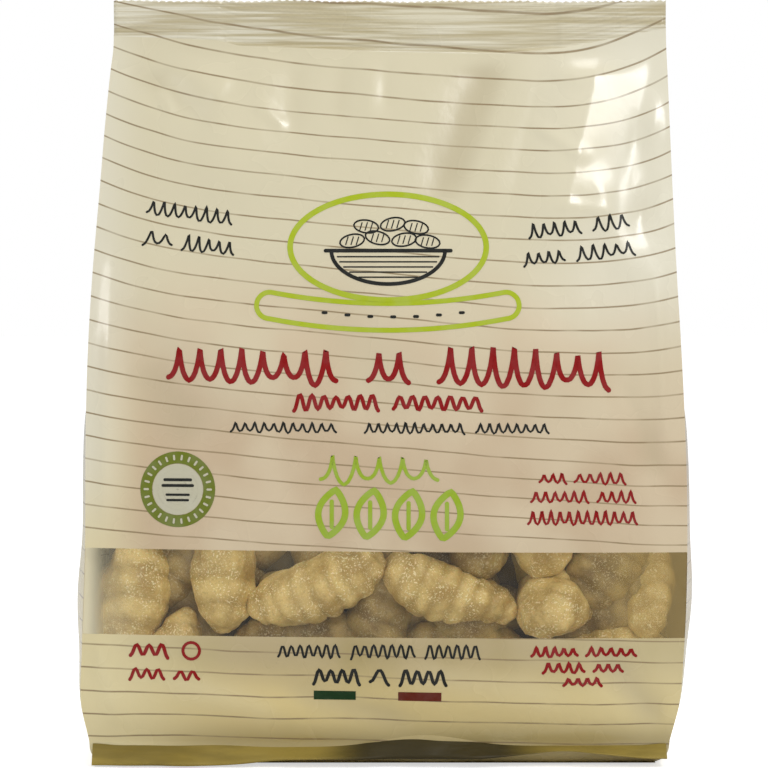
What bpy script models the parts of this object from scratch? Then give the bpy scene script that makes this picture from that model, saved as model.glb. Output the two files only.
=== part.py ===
"""A sealed film bag of potato gnocchi, standing on its flattened base.

Metres, +Z up. The origin is at the middle of the base and the bag's front faces -Y. The bag is shut, so it is one
solid out to its film: a skin lofted through level sections, with the side panels tucked in towards the top, a
crimped seal along the top and the fin of the bottom seal lying folded along the foot of the front.
"""

import math
from typing import NamedTuple

import bmesh
import bpy

# Driving sizes
BAG_HEIGHT = 0.2040
SEAL_HEIGHT = 0.0130
SEAL_HALF_WIDTH = 0.0747
SEAL_HALF_THICKNESS = 0.0006
CRIMP_PITCH = 0.0026
CRIMP_DEPTH = 0.0004
FIN_HALF_WIDTH = 0.0758
FIN_REACH = 0.0318
FIN_THICKNESS = 0.0014
BASE_HALF_WIDTH = 0.0725
BASE_HALF_DEPTH = 0.0250
FRONT_ARCH = 0.0028
FOLD_DEPTH = 0.0012
FOLD_WIDTH = 0.0090

# How finely the skin is divided
PANEL_STEPS = 24
SIDE_STEPS = 12
BODY_RINGS = 30
CRIMP_RINGS = 11


class Station(NamedTuple):
    """The bag's level section at one height."""

    height: float
    half_width: float    # middle line to the crease where a front or back panel meets a side panel
    half_depth: float    # middle plane to that crease
    bulge: float         # how far the front and back panels swell past the creases
    tuck: float          # how far a side panel folds in at its middle, below zero where it swells out
    lean: float          # how far the section's middle stands to one side


STATIONS = (
    Station(0.0060, 0.0765, 0.0285, 0.0014, -0.0015, -0.0014),
    Station(0.0160, 0.0785, 0.0305, 0.0028, -0.0026, -0.0012),
    Station(0.0320, 0.0790, 0.0308, 0.0042, -0.0030, -0.0004),
    Station(0.0580, 0.0790, 0.0300, 0.0054, -0.0030, 0.0004),
    Station(0.0880, 0.0788, 0.0275, 0.0062, -0.0018, 0.0002),
    Station(0.1080, 0.0783, 0.0245, 0.0064, 0.0030, 0.0000),
    Station(0.1300, 0.0774, 0.0200, 0.0056, 0.0120, 0.0000),
    Station(0.1520, 0.0764, 0.0140, 0.0040, 0.0210, 0.0004),
    Station(0.1720, 0.0756, 0.0080, 0.0022, 0.0265, 0.0008),
    Station(0.1850, 0.0750, 0.0036, 0.0009, 0.0290, 0.0012),
    Station(0.1905, 0.0747, 0.0012, 0.0000, 0.0295, 0.0014),
)
SEAL_LEAN = STATIONS[-1].lean


def section_at(height: float) -> Station:
    """Reads the bag's section at any height from a smooth curve through the stations."""
    last = len(STATIONS) - 2
    index = next((i for i in range(last) if height < STATIONS[i + 1].height), last)
    before = STATIONS[max(index - 1, 0)]
    start = STATIONS[index]
    end = STATIONS[index + 1]
    after = STATIONS[min(index + 2, len(STATIONS) - 1)]
    span = end.height - start.height
    share = (height - start.height) / span
    values = [height]
    for a, b, c, d in zip(before[1:], start[1:], end[1:], after[1:]):
        slope_start = (c - a) / (end.height - before.height) * span
        slope_end = (d - b) / (after.height - start.height) * span
        square = share * share
        cube = square * share
        values.append(
            b * (2 * cube - 3 * square + 1)
            + slope_start * (cube - 2 * square + share)
            + c * (3 * square - 2 * cube)
            + slope_end * (cube - square)
        )
    return Station(*values)


def bump(value: float, middle: float, width: float) -> float:
    """A smooth hump of height one."""
    return math.exp(-(((value - middle) / width) ** 2))


def soft_folds(across: float, height: float) -> float:
    """How far the front and back films stand out or sink in the folds that hang from the top seal."""
    fade = min(max((height - 0.120) / 0.045, 0.0), 1.0) * min(max((0.1905 - height) / 0.008, 0.0), 1.0)
    folds = (
        bump(across, -0.046, FOLD_WIDTH)
        - 0.8 * bump(across, -0.022, FOLD_WIDTH)
        + 0.5 * bump(across, 0.004, FOLD_WIDTH)
        - 0.9 * bump(across, 0.026, FOLD_WIDTH)
        + bump(across, 0.047, FOLD_WIDTH)
    )
    return FOLD_DEPTH * fade * folds


def panel_steps() -> list[float]:
    """Places across a panel, from just past one crease to the next, as shares of its half width."""
    return [-1 + 2 * step / PANEL_STEPS for step in range(PANEL_STEPS)]


def side_steps() -> list[float]:
    """Places across a side panel, from its front crease to its back one, as shares of its half depth."""
    return [-1 + 2 * step / SIDE_STEPS for step in range(SIDE_STEPS)]


def ring(front: list, right: list) -> list:
    """Joins a front panel and a right side panel to their opposites, as one loop seen from above."""
    back = [(-x, -y, z) for x, y, z in front]
    left = [(-x, -y, z) for x, y, z in right]
    return front + right + back + left


def lean(points: list, distance: float) -> list:
    """Moves a loop sideways."""
    return [(x + distance, y, z) for x, y, z in points]


def arch(share: float, height: float) -> float:
    """How far the foot of the front film is lifted between its corners."""
    fade = max(1.0 - height / 0.050, 0.0) ** 2
    return FRONT_ARCH * fade * (1 - abs(share) ** 2.5)


def body_ring(height: float) -> list:
    """The loop of the filled part of the bag at one height."""
    section = section_at(height)
    front = []
    for share in panel_steps():
        across = section.half_width * share
        swell = section.bulge * (1 - abs(share) ** 2.4) + soft_folds(across, height)
        front.append((across, -section.half_depth - swell, height))
    right = []
    for share in side_steps():
        tuck = section.tuck * (1 - abs(share) if section.tuck > 0 else 1 - share * share)
        right.append((section.half_width - tuck, section.half_depth * share, height))
    points = lean(ring(front, right), section.lean)
    for index, share in enumerate(panel_steps()):
        x, y, z = points[index]
        points[index] = (x, y, z + arch(share, height))
    return points


def seal_ring(height: float, half_thickness: float) -> list:
    """The flat loop of the top seal at one height."""
    front = [(SEAL_HALF_WIDTH * share, -half_thickness, height) for share in panel_steps()]
    right = [(SEAL_HALF_WIDTH, half_thickness * share, height) for share in side_steps()]
    return lean(ring(front, right), SEAL_LEAN)


def fin_lift(across: float) -> float:
    """How far the bottom seal's fin curls up off the ground along the foot of the front."""
    return (
        0.0016 * bump(across, 0.010, 0.026)
        + 0.0032 * bump(across, 0.047, 0.017)
        + 0.0004
    )


def foot_ring(half_width: float, half_depth: float, front_depth: float, height: float, fin: float) -> list:
    """A loop low on the bag, whose front edge follows the fin's curl by the share given."""
    front = []
    for share in panel_steps():
        across = half_width * share
        front.append((across, -front_depth, height + fin * fin_lift(across)))
    right = [(half_width, half_depth * share, height) for share in side_steps()]
    back = [(half_width * -share, half_depth, height) for share in panel_steps()]
    left = [(-half_width, half_depth * -share, height) for share in side_steps()]
    right[0] = (half_width, -front_depth, height + fin * fin_lift(half_width))
    return front + right + back + left


def foot_rings() -> list[list]:
    """The flat base, the fin's lip along the front and the film's turn above it."""
    mid_width = (BASE_HALF_WIDTH + FIN_HALF_WIDTH) / 2
    base = foot_ring(BASE_HALF_WIDTH, BASE_HALF_DEPTH, BASE_HALF_DEPTH, 0.0, 0.0)
    lip_under = foot_ring(FIN_HALF_WIDTH, 0.0268, FIN_REACH, 0.0006, 1.0)
    lip_over = foot_ring(FIN_HALF_WIDTH, 0.0272, FIN_REACH, 0.0006 + FIN_THICKNESS, 1.0)
    groove = foot_ring(mid_width, 0.0276, 0.0275, 0.0030, 0.8)
    return [lean(points, STATIONS[0].lean) for points in (base, lip_under, lip_over, groove)]


def all_rings() -> list[list]:
    """Every loop of the skin, from the base to the cut edge of the top seal."""
    rings = foot_rings()
    low = STATIONS[0].height
    high = STATIONS[-1].height
    for step in range(BODY_RINGS + 1):
        share = step / BODY_RINGS
        rings.append(body_ring(low + (high - low) * share))
    seal_foot = BAG_HEIGHT - SEAL_HEIGHT
    for step in range(CRIMP_RINGS):
        height = seal_foot + SEAL_HEIGHT * step / (CRIMP_RINGS - 1)
        ridge = 0.5 - 0.5 * math.cos(2 * math.pi * (height - seal_foot) / CRIMP_PITCH)
        rings.append(seal_ring(height, SEAL_HALF_THICKNESS + CRIMP_DEPTH * ridge))
    return rings


def centre_offset(rings: list[list]) -> tuple[float, float]:
    """How far the middle of the bag's box stands from the origin, across and in depth."""
    across = [x for points in rings for x, _, _ in points]
    deep = [y for points in rings for _, y, _ in points]
    return (min(across) + max(across)) / 2, (min(deep) + max(deep)) / 2


def loft(name: str, rings: list[list]) -> bpy.types.Object:
    """Builds one closed skin through the loops, with a flat face at each end."""
    shift_x, shift_y = centre_offset(rings)
    skin = bmesh.new()
    loops = [[skin.verts.new((x - shift_x, y - shift_y, z)) for x, y, z in points] for points in rings]
    count = len(loops[0])
    for lower, upper in zip(loops, loops[1:]):
        for index in range(count):
            following = (index + 1) % count
            skin.faces.new((lower[index], lower[following], upper[following], upper[index]))
    skin.faces.new(list(reversed(loops[0])))
    skin.faces.new(loops[-1])
    bmesh.ops.recalc_face_normals(skin, faces=skin.faces)
    mesh = bpy.data.meshes.new(name)
    skin.to_mesh(mesh)
    skin.free()
    mesh.shade_smooth()
    mesh.set_sharp_from_angle(angle=math.radians(40))
    return bpy.data.objects.new(name, mesh)


def film_material() -> bpy.types.Material:
    """Glossy cream film."""
    material = bpy.data.materials.new("cream_film")
    material.use_nodes = True
    shader = material.node_tree.nodes["Principled BSDF"]
    shader.inputs["Base Color"].default_value = (0.72, 0.65, 0.46, 1.0)
    shader.inputs["Roughness"].default_value = 0.3
    shader.inputs["Metallic"].default_value = 0.0
    return material


def main() -> None:
    """Empties the scene and builds the bag."""
    for old in list(bpy.data.objects):
        bpy.data.objects.remove(old, do_unlink=True)
    collection = bpy.data.collections.new("gnocchi_bag")
    bpy.context.scene.collection.children.link(collection)
    bag = loft("bag", all_rings())
    bag.data.materials.append(film_material())
    collection.objects.link(bag)


main()
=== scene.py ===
"""The looks of a film bag of potato gnocchi: printed film, clear window, crimped seals, print and filling."""

import logging
import math
import random
from dataclasses import dataclass, field
from enum import Enum

import bpy
import numpy as np
from mathutils import Matrix, Vector


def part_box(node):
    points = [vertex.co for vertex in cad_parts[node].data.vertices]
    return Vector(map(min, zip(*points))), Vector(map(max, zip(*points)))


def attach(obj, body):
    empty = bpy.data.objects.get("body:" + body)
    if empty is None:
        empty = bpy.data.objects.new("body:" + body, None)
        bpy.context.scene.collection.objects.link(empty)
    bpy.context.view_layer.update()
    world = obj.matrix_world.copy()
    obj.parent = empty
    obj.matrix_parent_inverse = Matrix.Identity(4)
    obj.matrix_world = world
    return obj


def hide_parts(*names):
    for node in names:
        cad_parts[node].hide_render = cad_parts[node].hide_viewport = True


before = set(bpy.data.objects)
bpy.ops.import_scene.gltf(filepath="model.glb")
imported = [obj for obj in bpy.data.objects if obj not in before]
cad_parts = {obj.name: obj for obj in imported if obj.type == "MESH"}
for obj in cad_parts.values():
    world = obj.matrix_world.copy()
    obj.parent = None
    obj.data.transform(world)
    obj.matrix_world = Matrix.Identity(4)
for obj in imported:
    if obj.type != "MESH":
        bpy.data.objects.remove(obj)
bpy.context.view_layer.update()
BAG_LOW, BAG_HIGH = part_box("bag")

LOG = logging.getLogger("gnocchi_bag")
MM = 0.001
BODY = "root"
PRINT_MAP = "print"
PRINT_SCALE = 10      # the print map counts in tenths of a metre
FOLD_MAP = "fold"
GROOVE_MAP = "groove"
BAKE_MAP = "OFBake"


class Slot(Enum):
    """Names of material slots."""

    FILM = "film"
    WINDOW = "window"
    DOUGH = "dough"
    INK = "ink"


class Face(Enum):
    """The two side faces of the bag."""

    LEFT = "left"
    RIGHT = "right"


# ---------------------------------------------------------------- small helpers


def clear_selection() -> None:
    """Leaves object mode with nothing selected."""
    if bpy.context.object and bpy.context.object.mode != "OBJECT":
        bpy.ops.object.mode_set(mode="OBJECT")
    bpy.ops.object.select_all(action="DESELECT")


def take(piece: bpy.types.Object) -> None:
    """Makes a piece the only one selected, and active."""
    clear_selection()
    piece.select_set(True)
    bpy.context.view_layer.objects.active = piece


def settle(piece: bpy.types.Object) -> None:
    """Puts a piece's place, turn and scale into its mesh."""
    take(piece)
    bpy.ops.object.transform_apply(location=True, rotation=True, scale=True)


def join(pieces: list[bpy.types.Object], name: str) -> bpy.types.Object:
    """Joins pieces into one.

    Args:
        pieces: the meshes to join.
        name: the name of the joined piece.

    Returns:
        The joined piece.
    """
    take(pieces[0])
    for piece in pieces:
        piece.select_set(True)
    bpy.ops.object.join()
    joined = bpy.context.object
    joined.name = name
    joined.data.name = name
    return joined


def finish_piece(
    piece: bpy.types.Object,
    material: bpy.types.Material,
    smooth: bool = True,
) -> None:
    """Dresses a piece, fixes it to the bag's body and reports it.

    Args:
        piece: the finished mesh.
        material: its material.
        smooth: whether its faces are shaded smooth.
    """
    settle(piece)
    piece.data.materials.clear()
    piece.data.materials.append(material)
    if smooth:
        bpy.ops.object.shade_smooth()
    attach(piece, BODY)
    LOG.info("%s: %d faces", piece.name, len(piece.data.polygons))


def points_of(piece: bpy.types.Object) -> np.ndarray:
    """The places of a mesh's points, one row each."""
    flat = np.empty(len(piece.data.vertices) * 3)
    piece.data.vertices.foreach_get("co", flat)
    return flat.reshape(-1, 3)


def move_points(piece: bpy.types.Object, places: np.ndarray) -> None:
    """Gives a mesh's points new places."""
    piece.data.vertices.foreach_set("co", np.ascontiguousarray(places, dtype=float).ravel())
    piece.data.update()


def ramp(value: np.ndarray, low: float, high: float) -> np.ndarray:
    """A smooth step from 0 at low to 1 at high."""
    share = np.clip((value - low) / (high - low), 0.0, 1.0)
    return share * share * (3 - 2 * share)


def hump(value: np.ndarray, middle: float, width: float) -> np.ndarray:
    """A smooth hump of height one."""
    return np.exp(-(((value - middle) / width) ** 2))


# ---------------------------------------------------------------- finishes


class NodeBook:
    """A material's node tree, with short calls that add and join nodes."""

    def __init__(self, name: str) -> None:
        """Starts a material with one Principled shader.

        Args:
            name: the material's name.
        """
        self.material = bpy.data.materials.new(name)
        self.material.use_nodes = True
        self.tree = self.material.node_tree
        self.shader = self.tree.nodes["Principled BSDF"]
        self.output = self.tree.nodes["Material Output"]

    def add(self, kind: str, **values: object) -> bpy.types.Node:
        """Adds a node and sets its properties."""
        node = self.tree.nodes.new(kind)
        for key, value in values.items():
            setattr(node, key, value)
        return node

    def link(self, source: bpy.types.NodeSocket, target: bpy.types.NodeSocket) -> None:
        """Joins an output to an input."""
        self.tree.links.new(source, target)

    def math(
        self,
        operation: str,
        first: object,
        second: object = 0.0,
        clamp: bool = False,
    ) -> bpy.types.NodeSocket:
        """Adds a Math node on sockets or numbers.

        Args:
            operation: Blender's name of the operation.
            first: a socket or a number.
            second: a socket or a number.
            clamp: whether the result is kept between 0 and 1.

        Returns:
            The result's socket.
        """
        node = self.add("ShaderNodeMath", operation=operation, use_clamp=clamp)
        for index, value in enumerate((first, second)):
            if isinstance(value, bpy.types.NodeSocket):
                self.link(value, node.inputs[index])
            else:
                node.inputs[index].default_value = value
        return node.outputs[0]

    def noise(self, scale: float, detail: float = 2.0, stretch: tuple = (1, 1, 1), rough: float = 0.5,
              place: bpy.types.NodeSocket | None = None) -> bpy.types.NodeSocket:
        """Adds noise on Object coordinates.

        Args:
            scale: lumps in a metre.
            detail: how many finer layers it has.
            stretch: how much each axis is squeezed.
            rough: the strength of the finer layers.
            place: other coordinates to read.

        Returns:
            The noise's value socket.
        """
        mapping = self.add("ShaderNodeMapping")
        mapping.inputs["Scale"].default_value = stretch
        self.link(place or self.add("ShaderNodeTexCoord").outputs["Object"], mapping.inputs["Vector"])
        node = self.add("ShaderNodeTexNoise")
        node.inputs["Scale"].default_value = scale
        node.inputs["Detail"].default_value = detail
        node.inputs["Roughness"].default_value = rough
        self.link(mapping.outputs[0], node.inputs["Vector"])
        return node.outputs["Fac"]

    def blend(self, share: object, first: object, second: object, mode: str = "MIX") -> bpy.types.NodeSocket:
        """Mixes two colours, each a socket or a colour.

        Args:
            share: how much of the second colour, a socket or a number.
            first: the first colour.
            second: the second colour.
            mode: Blender's name of the way to mix.

        Returns:
            The mixed colour's socket.
        """
        node = self.add("ShaderNodeMix", data_type="RGBA", blend_type=mode)
        for index, value in ((0, share), (6, first), (7, second)):
            if isinstance(value, bpy.types.NodeSocket):
                self.link(value, node.inputs[index])
            elif index == 0:
                node.inputs[index].default_value = value
            else:
                node.inputs[index].default_value = (*value, 1.0)
        return node.outputs[2]

    def steps(self, value: bpy.types.NodeSocket, low: float, high: float,
              start: float = 0.0, end: float = 1.0) -> bpy.types.NodeSocket:
        """Maps a value's span onto another, kept within it."""
        node = self.add("ShaderNodeMapRange", clamp=True, interpolation_type="SMOOTHSTEP")
        self.link(value, node.inputs["Value"])
        node.inputs["From Min"].default_value = low
        node.inputs["From Max"].default_value = high
        node.inputs["To Min"].default_value = start
        node.inputs["To Max"].default_value = end
        return node.outputs["Result"]

    def bump(self, height: bpy.types.NodeSocket, strength: float, distance: float) -> None:
        """Adds relief to the shader's normal."""
        node = self.add("ShaderNodeBump")
        node.inputs["Strength"].default_value = strength
        node.inputs["Distance"].default_value = distance
        self.link(height, node.inputs["Height"])
        self.link(node.outputs[0], self.shader.inputs["Normal"])

    def set(self, **values: float) -> None:
        """Sets constants on the shader's sockets, with words joined by underscores."""
        for key, value in values.items():
            self.shader.inputs[key.replace("_", " ").title().replace("Ior", "IOR")].default_value = value


def film_relief(book: NodeBook) -> bpy.types.NodeSocket:
    """The small wrinkles that film and ink share.

    Args:
        book: the material's nodes.

    Returns:
        The relief's height socket.
    """
    soft = book.noise(70.0, 1.0, (1.0, 1.0, 0.4))
    fine = book.noise(420.0, 2.0, (1.0, 1.0, 0.6))
    return book.math("ADD", book.math("MULTIPLY", soft, 0.7), book.math("MULTIPLY", fine, 0.08))


def see_through(book: NodeBook, share: bpy.types.NodeSocket) -> None:
    """Lets the surface show only by a share, and be clear for the rest."""
    clear = book.add("ShaderNodeBsdfTransparent")
    mix = book.add("ShaderNodeMixShader")
    book.link(share, mix.inputs[0])
    book.link(clear.outputs[0], mix.inputs[1])
    book.link(book.shader.outputs[0], mix.inputs[2])
    book.link(mix.outputs[0], book.output.inputs["Surface"])


@dataclass(frozen=True)
class PrintedFilm:
    """Cream film printed with fine level lines, glossy outside, with painted light and shade in its colour.
    """

    name: str = "printed_film"
    crimped: bool = False
    top_colour: tuple = (0.760, 0.690, 0.480)
    mid_colour: tuple = (0.735, 0.600, 0.405)
    low_colour: tuple = (0.430, 0.335, 0.132)
    foot_colour: tuple = (0.760, 0.610, 0.270)
    pale_colour: tuple = (0.830, 0.725, 0.420)
    light_colour: tuple = (0.850, 0.805, 0.640)
    shade_colour: tuple = (0.52, 0.44, 0.27)
    line_colour: tuple = (0.29, 0.205, 0.095)
    line_gap: float = 6.1 * MM
    line_width: float = 0.42 * MM
    roughness: float = 0.24

    def material(self) -> bpy.types.Material:
        """Builds the film's material."""
        book = NodeBook(self.name)
        book.set(roughness=self.roughness, coat_weight=0.4, coat_roughness=0.11)
        ground = self.crimps(book) if self.crimped else self.ground(book)
        line = self.lines(book)
        book.link(book.blend(line, ground, self.line_colour), book.shader.inputs["Base Color"])
        gloss = book.steps(book.noise(60.0, 2.0), 0.3, 0.7, self.roughness - 0.05, self.roughness + 0.08)
        book.link(gloss, book.shader.inputs["Roughness"])
        book.bump(film_relief(book), 0.45, 0.0014)
        return book.material

    def ground(self, book: NodeBook) -> bpy.types.NodeSocket:
        """The film's colour: pale above, where the bag is empty, and duller over its filling, partly the
        filling showing through the film and partly painted shade where the filled bag turns away from the
        light. It also carries painted light in bands at its sides, painted shade just above its foot, and
        painted shade and highlight along its creases.

        Args:
            book: the material's nodes.

        Returns:
            The colour's socket.
        """
        split = book.add("ShaderNodeSeparateXYZ")
        book.link(book.add("ShaderNodeTexCoord").outputs["Object"], split.inputs[0])
        across, up = split.outputs["X"], split.outputs["Z"]
        heap = book.steps(book.noise(44.0, 1.5, (1.0, 1.0, 0.8)), 0.36, 0.66)
        left = book.steps(across, -0.078, -0.030, 0.9, 0.0)
        right = book.steps(across, 0.022, 0.074, 0.0, 0.40)
        # darker lower down: partly the filling showing through the film, partly painted shade where the bag
        # turns away from the light
        low = book.blend(book.math("MULTIPLY", heap, 0.30), self.low_colour, self.mid_colour)
        low = book.blend(book.steps(up, 0.016, 0.031), self.foot_colour, low)
        low = book.blend(book.math("MAXIMUM", left, right), low, self.pale_colour)
        dark_mid = tuple(v * w for v, w in zip(self.mid_colour, (0.86, 0.80, 0.76)))
        middle = book.blend(heap, dark_mid, self.mid_colour)
        middle = book.blend(book.steps(across, -0.079, -0.058, 0.9, 0.0), middle, self.pale_colour)
        tall = book.blend(book.math("MULTIPLY", heap, 0.5), self.mid_colour, self.top_colour)
        top = book.blend(book.steps(up, 0.110, 0.140), tall, self.top_colour)
        ground = book.blend(book.steps(up, 0.028, 0.064), low, middle)
        ground = book.blend(book.steps(up, 0.074, 0.122), ground, top)
        # painted light: lighter bands up the left side and across the upper right, where the film catches the
        # lamps
        left_band = book.steps(across, -0.080, -0.062, 0.9, 0.0)
        left_edge_light = book.math("MULTIPLY", left_band, book.steps(up, 0.050, 0.085))
        right_band = book.steps(across, 0.026, 0.070, 0.0, 0.9)
        right_edge_light = book.math("MULTIPLY", right_band, book.steps(up, 0.100, 0.135))
        ground = book.blend(book.math("MAXIMUM", left_edge_light, right_edge_light), ground, self.light_colour)
        # painted shade: darker just above the foot, where the film turns under
        foot_shade_band = book.steps(up, 0.005, 0.014, 0.50, 0.0)
        under = book.math("MULTIPLY", foot_shade_band, book.steps(across, -0.07, -0.04))
        ground = book.blend(under, ground, tuple(v * 0.6 for v in self.low_colour))
        # painted shade in the creases' valleys and painted highlight on their crests, from the crease heights
        # stored on the film
        fold = book.add("ShaderNodeAttribute", attribute_name=FOLD_MAP)
        fold_shade = book.steps(fold.outputs["Fac"], -0.1, -2.2, 0.0, 0.60)
        ground = book.blend(fold_shade, ground, self.shade_colour)
        crest = book.steps(fold.outputs["Fac"], 0.3, 2.4, 0.0, 0.35)
        return book.blend(crest, ground, tuple(v * 1.12 for v in self.top_colour))

    def crimps(self, book: NodeBook) -> bpy.types.NodeSocket:
        """The seal's colour: painted light and shade in fine uneven level streaks, as its crimps catch the
        light or lie in shade.

        Args:
            book: the material's nodes.

        Returns:
            The colour's socket.
        """
        # painted light and shade: pale patches and darker streaks along the crimps
        streaks = book.steps(book.noise(60.0, 3.0, (0.35, 1.0, 11.0), 0.6), 0.40, 0.62)
        broad = book.steps(book.noise(30.0, 2.0, (0.7, 1.0, 1.4)), 0.40, 0.66)
        crimp_shade = tuple(v * w for v, w in zip(self.top_colour, (0.64, 0.58, 0.42)))
        fine = book.steps(book.noise(90.0, 2.0, (0.30, 1.0, 14.0), 0.6), 0.44, 0.60)
        ground = book.blend(book.math("MULTIPLY", broad, 0.55), self.light_colour, self.top_colour)
        ground = book.blend(book.math("MULTIPLY", streaks, 0.70), ground, crimp_shade)
        return book.blend(book.math("MULTIPLY", fine, 0.40), ground, crimp_shade)

    def lines(self, book: NodeBook) -> bpy.types.NodeSocket:
        """The fine printed lines, a little unsteady, as if ruled by hand.

        Args:
            book: the material's nodes.

        Returns:
            How much of the line's colour there is.
        """
        split = book.add("ShaderNodeSeparateXYZ")
        book.link(book.add("ShaderNodeUVMap", uv_map=PRINT_MAP).outputs[0], split.inputs[0])
        waver = book.math("MULTIPLY", book.noise(26.0, 2.0), 2.2 * MM * PRINT_SCALE)
        height = book.math("ADD", split.outputs["Y"], waver)
        turn = book.math("FRACT", book.math("DIVIDE", height, self.line_gap * PRINT_SCALE))
        distance = book.math("ABSOLUTE", book.math("SUBTRACT", turn, 0.5))
        half = self.line_width / self.line_gap / 2
        line = book.steps(distance, half * 0.5, half * 1.5, 1.0, 0.0)
        fade = book.steps(book.noise(120.0, 1.0), 0.30, 0.62, 0.50, 0.92)
        return book.math("MULTIPLY", line, fade)


@dataclass(frozen=True)
class ShadedFilm:
    """The same film where it lies folded under the front, coloured darker as painted shade, with a painted
    shadow in its middle.
    """

    name: str = "fin_painted_shade"
    lit_colour: tuple = (0.38, 0.28, 0.060)
    dark_colour: tuple = (0.034, 0.026, 0.008)
    roughness: float = 0.45

    def material(self) -> bpy.types.Material:
        """Builds the material of the fin's painted shade."""
        book = NodeBook(self.name)
        book.set(roughness=self.roughness, specular_ior_level=0.25)
        coordinates = book.add("ShaderNodeTexCoord").outputs["Object"]
        split = book.add("ShaderNodeSeparateXYZ")
        book.link(coordinates, split.inputs[0])
        # painted shadow: near black in the middle, under the front's lifted edge
        left = book.steps(split.outputs["X"], -0.020, -0.004)
        right = book.steps(split.outputs["X"], 0.030, 0.046, 1.0, 0.0)
        dark = book.math("MULTIPLY", left, right)
        streak = book.steps(book.noise(120.0, 3.0, (0.4, 1.0, 2.5)), 0.35, 0.7, 0.0, 0.5)
        colour = book.blend(streak, self.lit_colour, tuple(v * 0.35 for v in self.lit_colour))
        colour = book.blend(book.math("MULTIPLY", dark, 0.94), colour, self.dark_colour)
        book.link(colour, book.shader.inputs["Base Color"])
        book.bump(book.noise(260.0, 3.0, (0.5, 1.0, 1.5)), 0.4, 0.001)
        return book.material


@dataclass(frozen=True)
class ClearFilm:
    """Clear glossy film, which mostly shows what lies behind it."""

    name: str = "clear_film"
    gloss_colour: tuple = (0.95, 0.94, 0.90)
    roughness: float = 0.09

    def material(self) -> bpy.types.Material:
        """Builds the window film's material: a thin gloss over a see-through sheet."""
        book = NodeBook(self.name)
        book.shader.inputs["Base Color"].default_value = (*self.gloss_colour, 1.0)
        book.set(metallic=1.0, roughness=self.roughness)
        edge = book.add("ShaderNodeFresnel")
        edge.inputs["IOR"].default_value = 1.45
        see_through(book, edge.outputs[0])
        book.bump(book.noise(110.0, 2.0, (1.6, 1.0, 0.5)), 0.6, 0.0018)
        return book.material


@dataclass(frozen=True)
class FilmMist:
    """The milky haze inside the window film, thick at its ends; at the left end its pale haze also stands in
    for light on the inside of the side film, painted light.
    """

    name: str = "film_mist"
    colour: tuple = (0.84, 0.76, 0.52)
    deep_colour: tuple = (0.46, 0.32, 0.10)
    middle_share: float = 0.01
    end_share: float = 0.92

    def material(self) -> bpy.types.Material:
        """Builds the haze's material."""
        book = NodeBook(self.name)
        book.set(roughness=0.6, specular_ior_level=0.2)
        split = book.add("ShaderNodeSeparateXYZ")
        book.link(book.add("ShaderNodeTexCoord").outputs["Object"], split.inputs[0])
        side = book.steps(split.outputs["X"], -0.068, 0.040)
        book.link(book.blend(side, self.colour, self.deep_colour), book.shader.inputs["Base Color"])
        # painted light: the thick pale left end also stands for the lit inside of the side film
        left = book.steps(split.outputs["X"], -0.0790, -0.0725, self.end_share, 0.18)
        left = book.math("MULTIPLY", left, book.steps(split.outputs["X"], -0.0725, -0.0600, 1.0, 0.0))
        right = book.steps(split.outputs["X"], 0.050, 0.0790, 0.0, 0.55)
        patch = book.steps(book.noise(60.0, 2.0), 0.45, 0.72, 0.0, 0.08)
        share = book.math("ADD", book.math("MAXIMUM", left, right), self.middle_share)
        see_through(book, book.math("ADD", share, patch, clamp=True))
        return book.material


@dataclass(frozen=True)
class Dough:
    """Pale potato dough, moist and dusted with flour, with painted shade in its grooves."""

    name: str = "dough"
    colour: tuple = (0.74, 0.535, 0.180)
    deep_colour: tuple = (0.40, 0.250, 0.050)
    flour_colour: tuple = (0.98, 0.86, 0.52)

    def material(self) -> bpy.types.Material:
        """Builds the dough's material."""
        book = NodeBook(self.name)
        book.set(roughness=0.5, subsurface_weight=0.15, subsurface_scale=0.002)
        patches = book.steps(book.noise(120.0, 3.0), 0.36, 0.70)
        colour = book.blend(patches, self.colour, self.deep_colour)
        # painted shade: darker in the grooves between the ridges
        groove = book.add("ShaderNodeAttribute", attribute_name=GROOVE_MAP)
        colour = book.blend(book.math("MULTIPLY", groove.outputs["Fac"], 0.75), colour, self.deep_colour)
        dust = book.steps(book.noise(1900.0, 1.0, rough=0.6), 0.56, 0.64)
        where = book.steps(book.noise(170.0, 2.0), 0.38, 0.60, 0.15, 0.70)
        colour = book.blend(book.math("MULTIPLY", dust, where), colour, self.flour_colour)
        pits = book.steps(book.noise(1500.0, 2.0, (1.1, 1.0, 1.0)), 0.30, 0.44, 0.35, 0.0)
        colour = book.blend(pits, colour, tuple(v * 0.8 for v in self.deep_colour))
        book.link(colour, book.shader.inputs["Base Color"])
        rough = book.steps(book.noise(300.0, 2.0), 0.3, 0.7, 0.36, 0.62)
        book.link(rough, book.shader.inputs["Roughness"])
        book.bump(book.noise(1200.0, 3.0), 0.35, 0.0006)
        return book.material


@dataclass(frozen=True)
class DeepFilling:
    """A dark colour that stands for the shade between and behind the gnocchi: painted shade."""

    name: str = "filling_painted_shade"
    colour: tuple = (0.09, 0.054, 0.009)

    def material(self) -> bpy.types.Material:
        """Builds the material of the painted shade behind the gnocchi."""
        book = NodeBook(self.name)
        book.set(roughness=0.7)
        patches = book.steps(book.noise(80.0, 2.0), 0.3, 0.7)
        colour = book.blend(patches, self.colour, tuple(v * 0.4 for v in self.colour))
        book.link(colour, book.shader.inputs["Base Color"])
        return book.material


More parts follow.
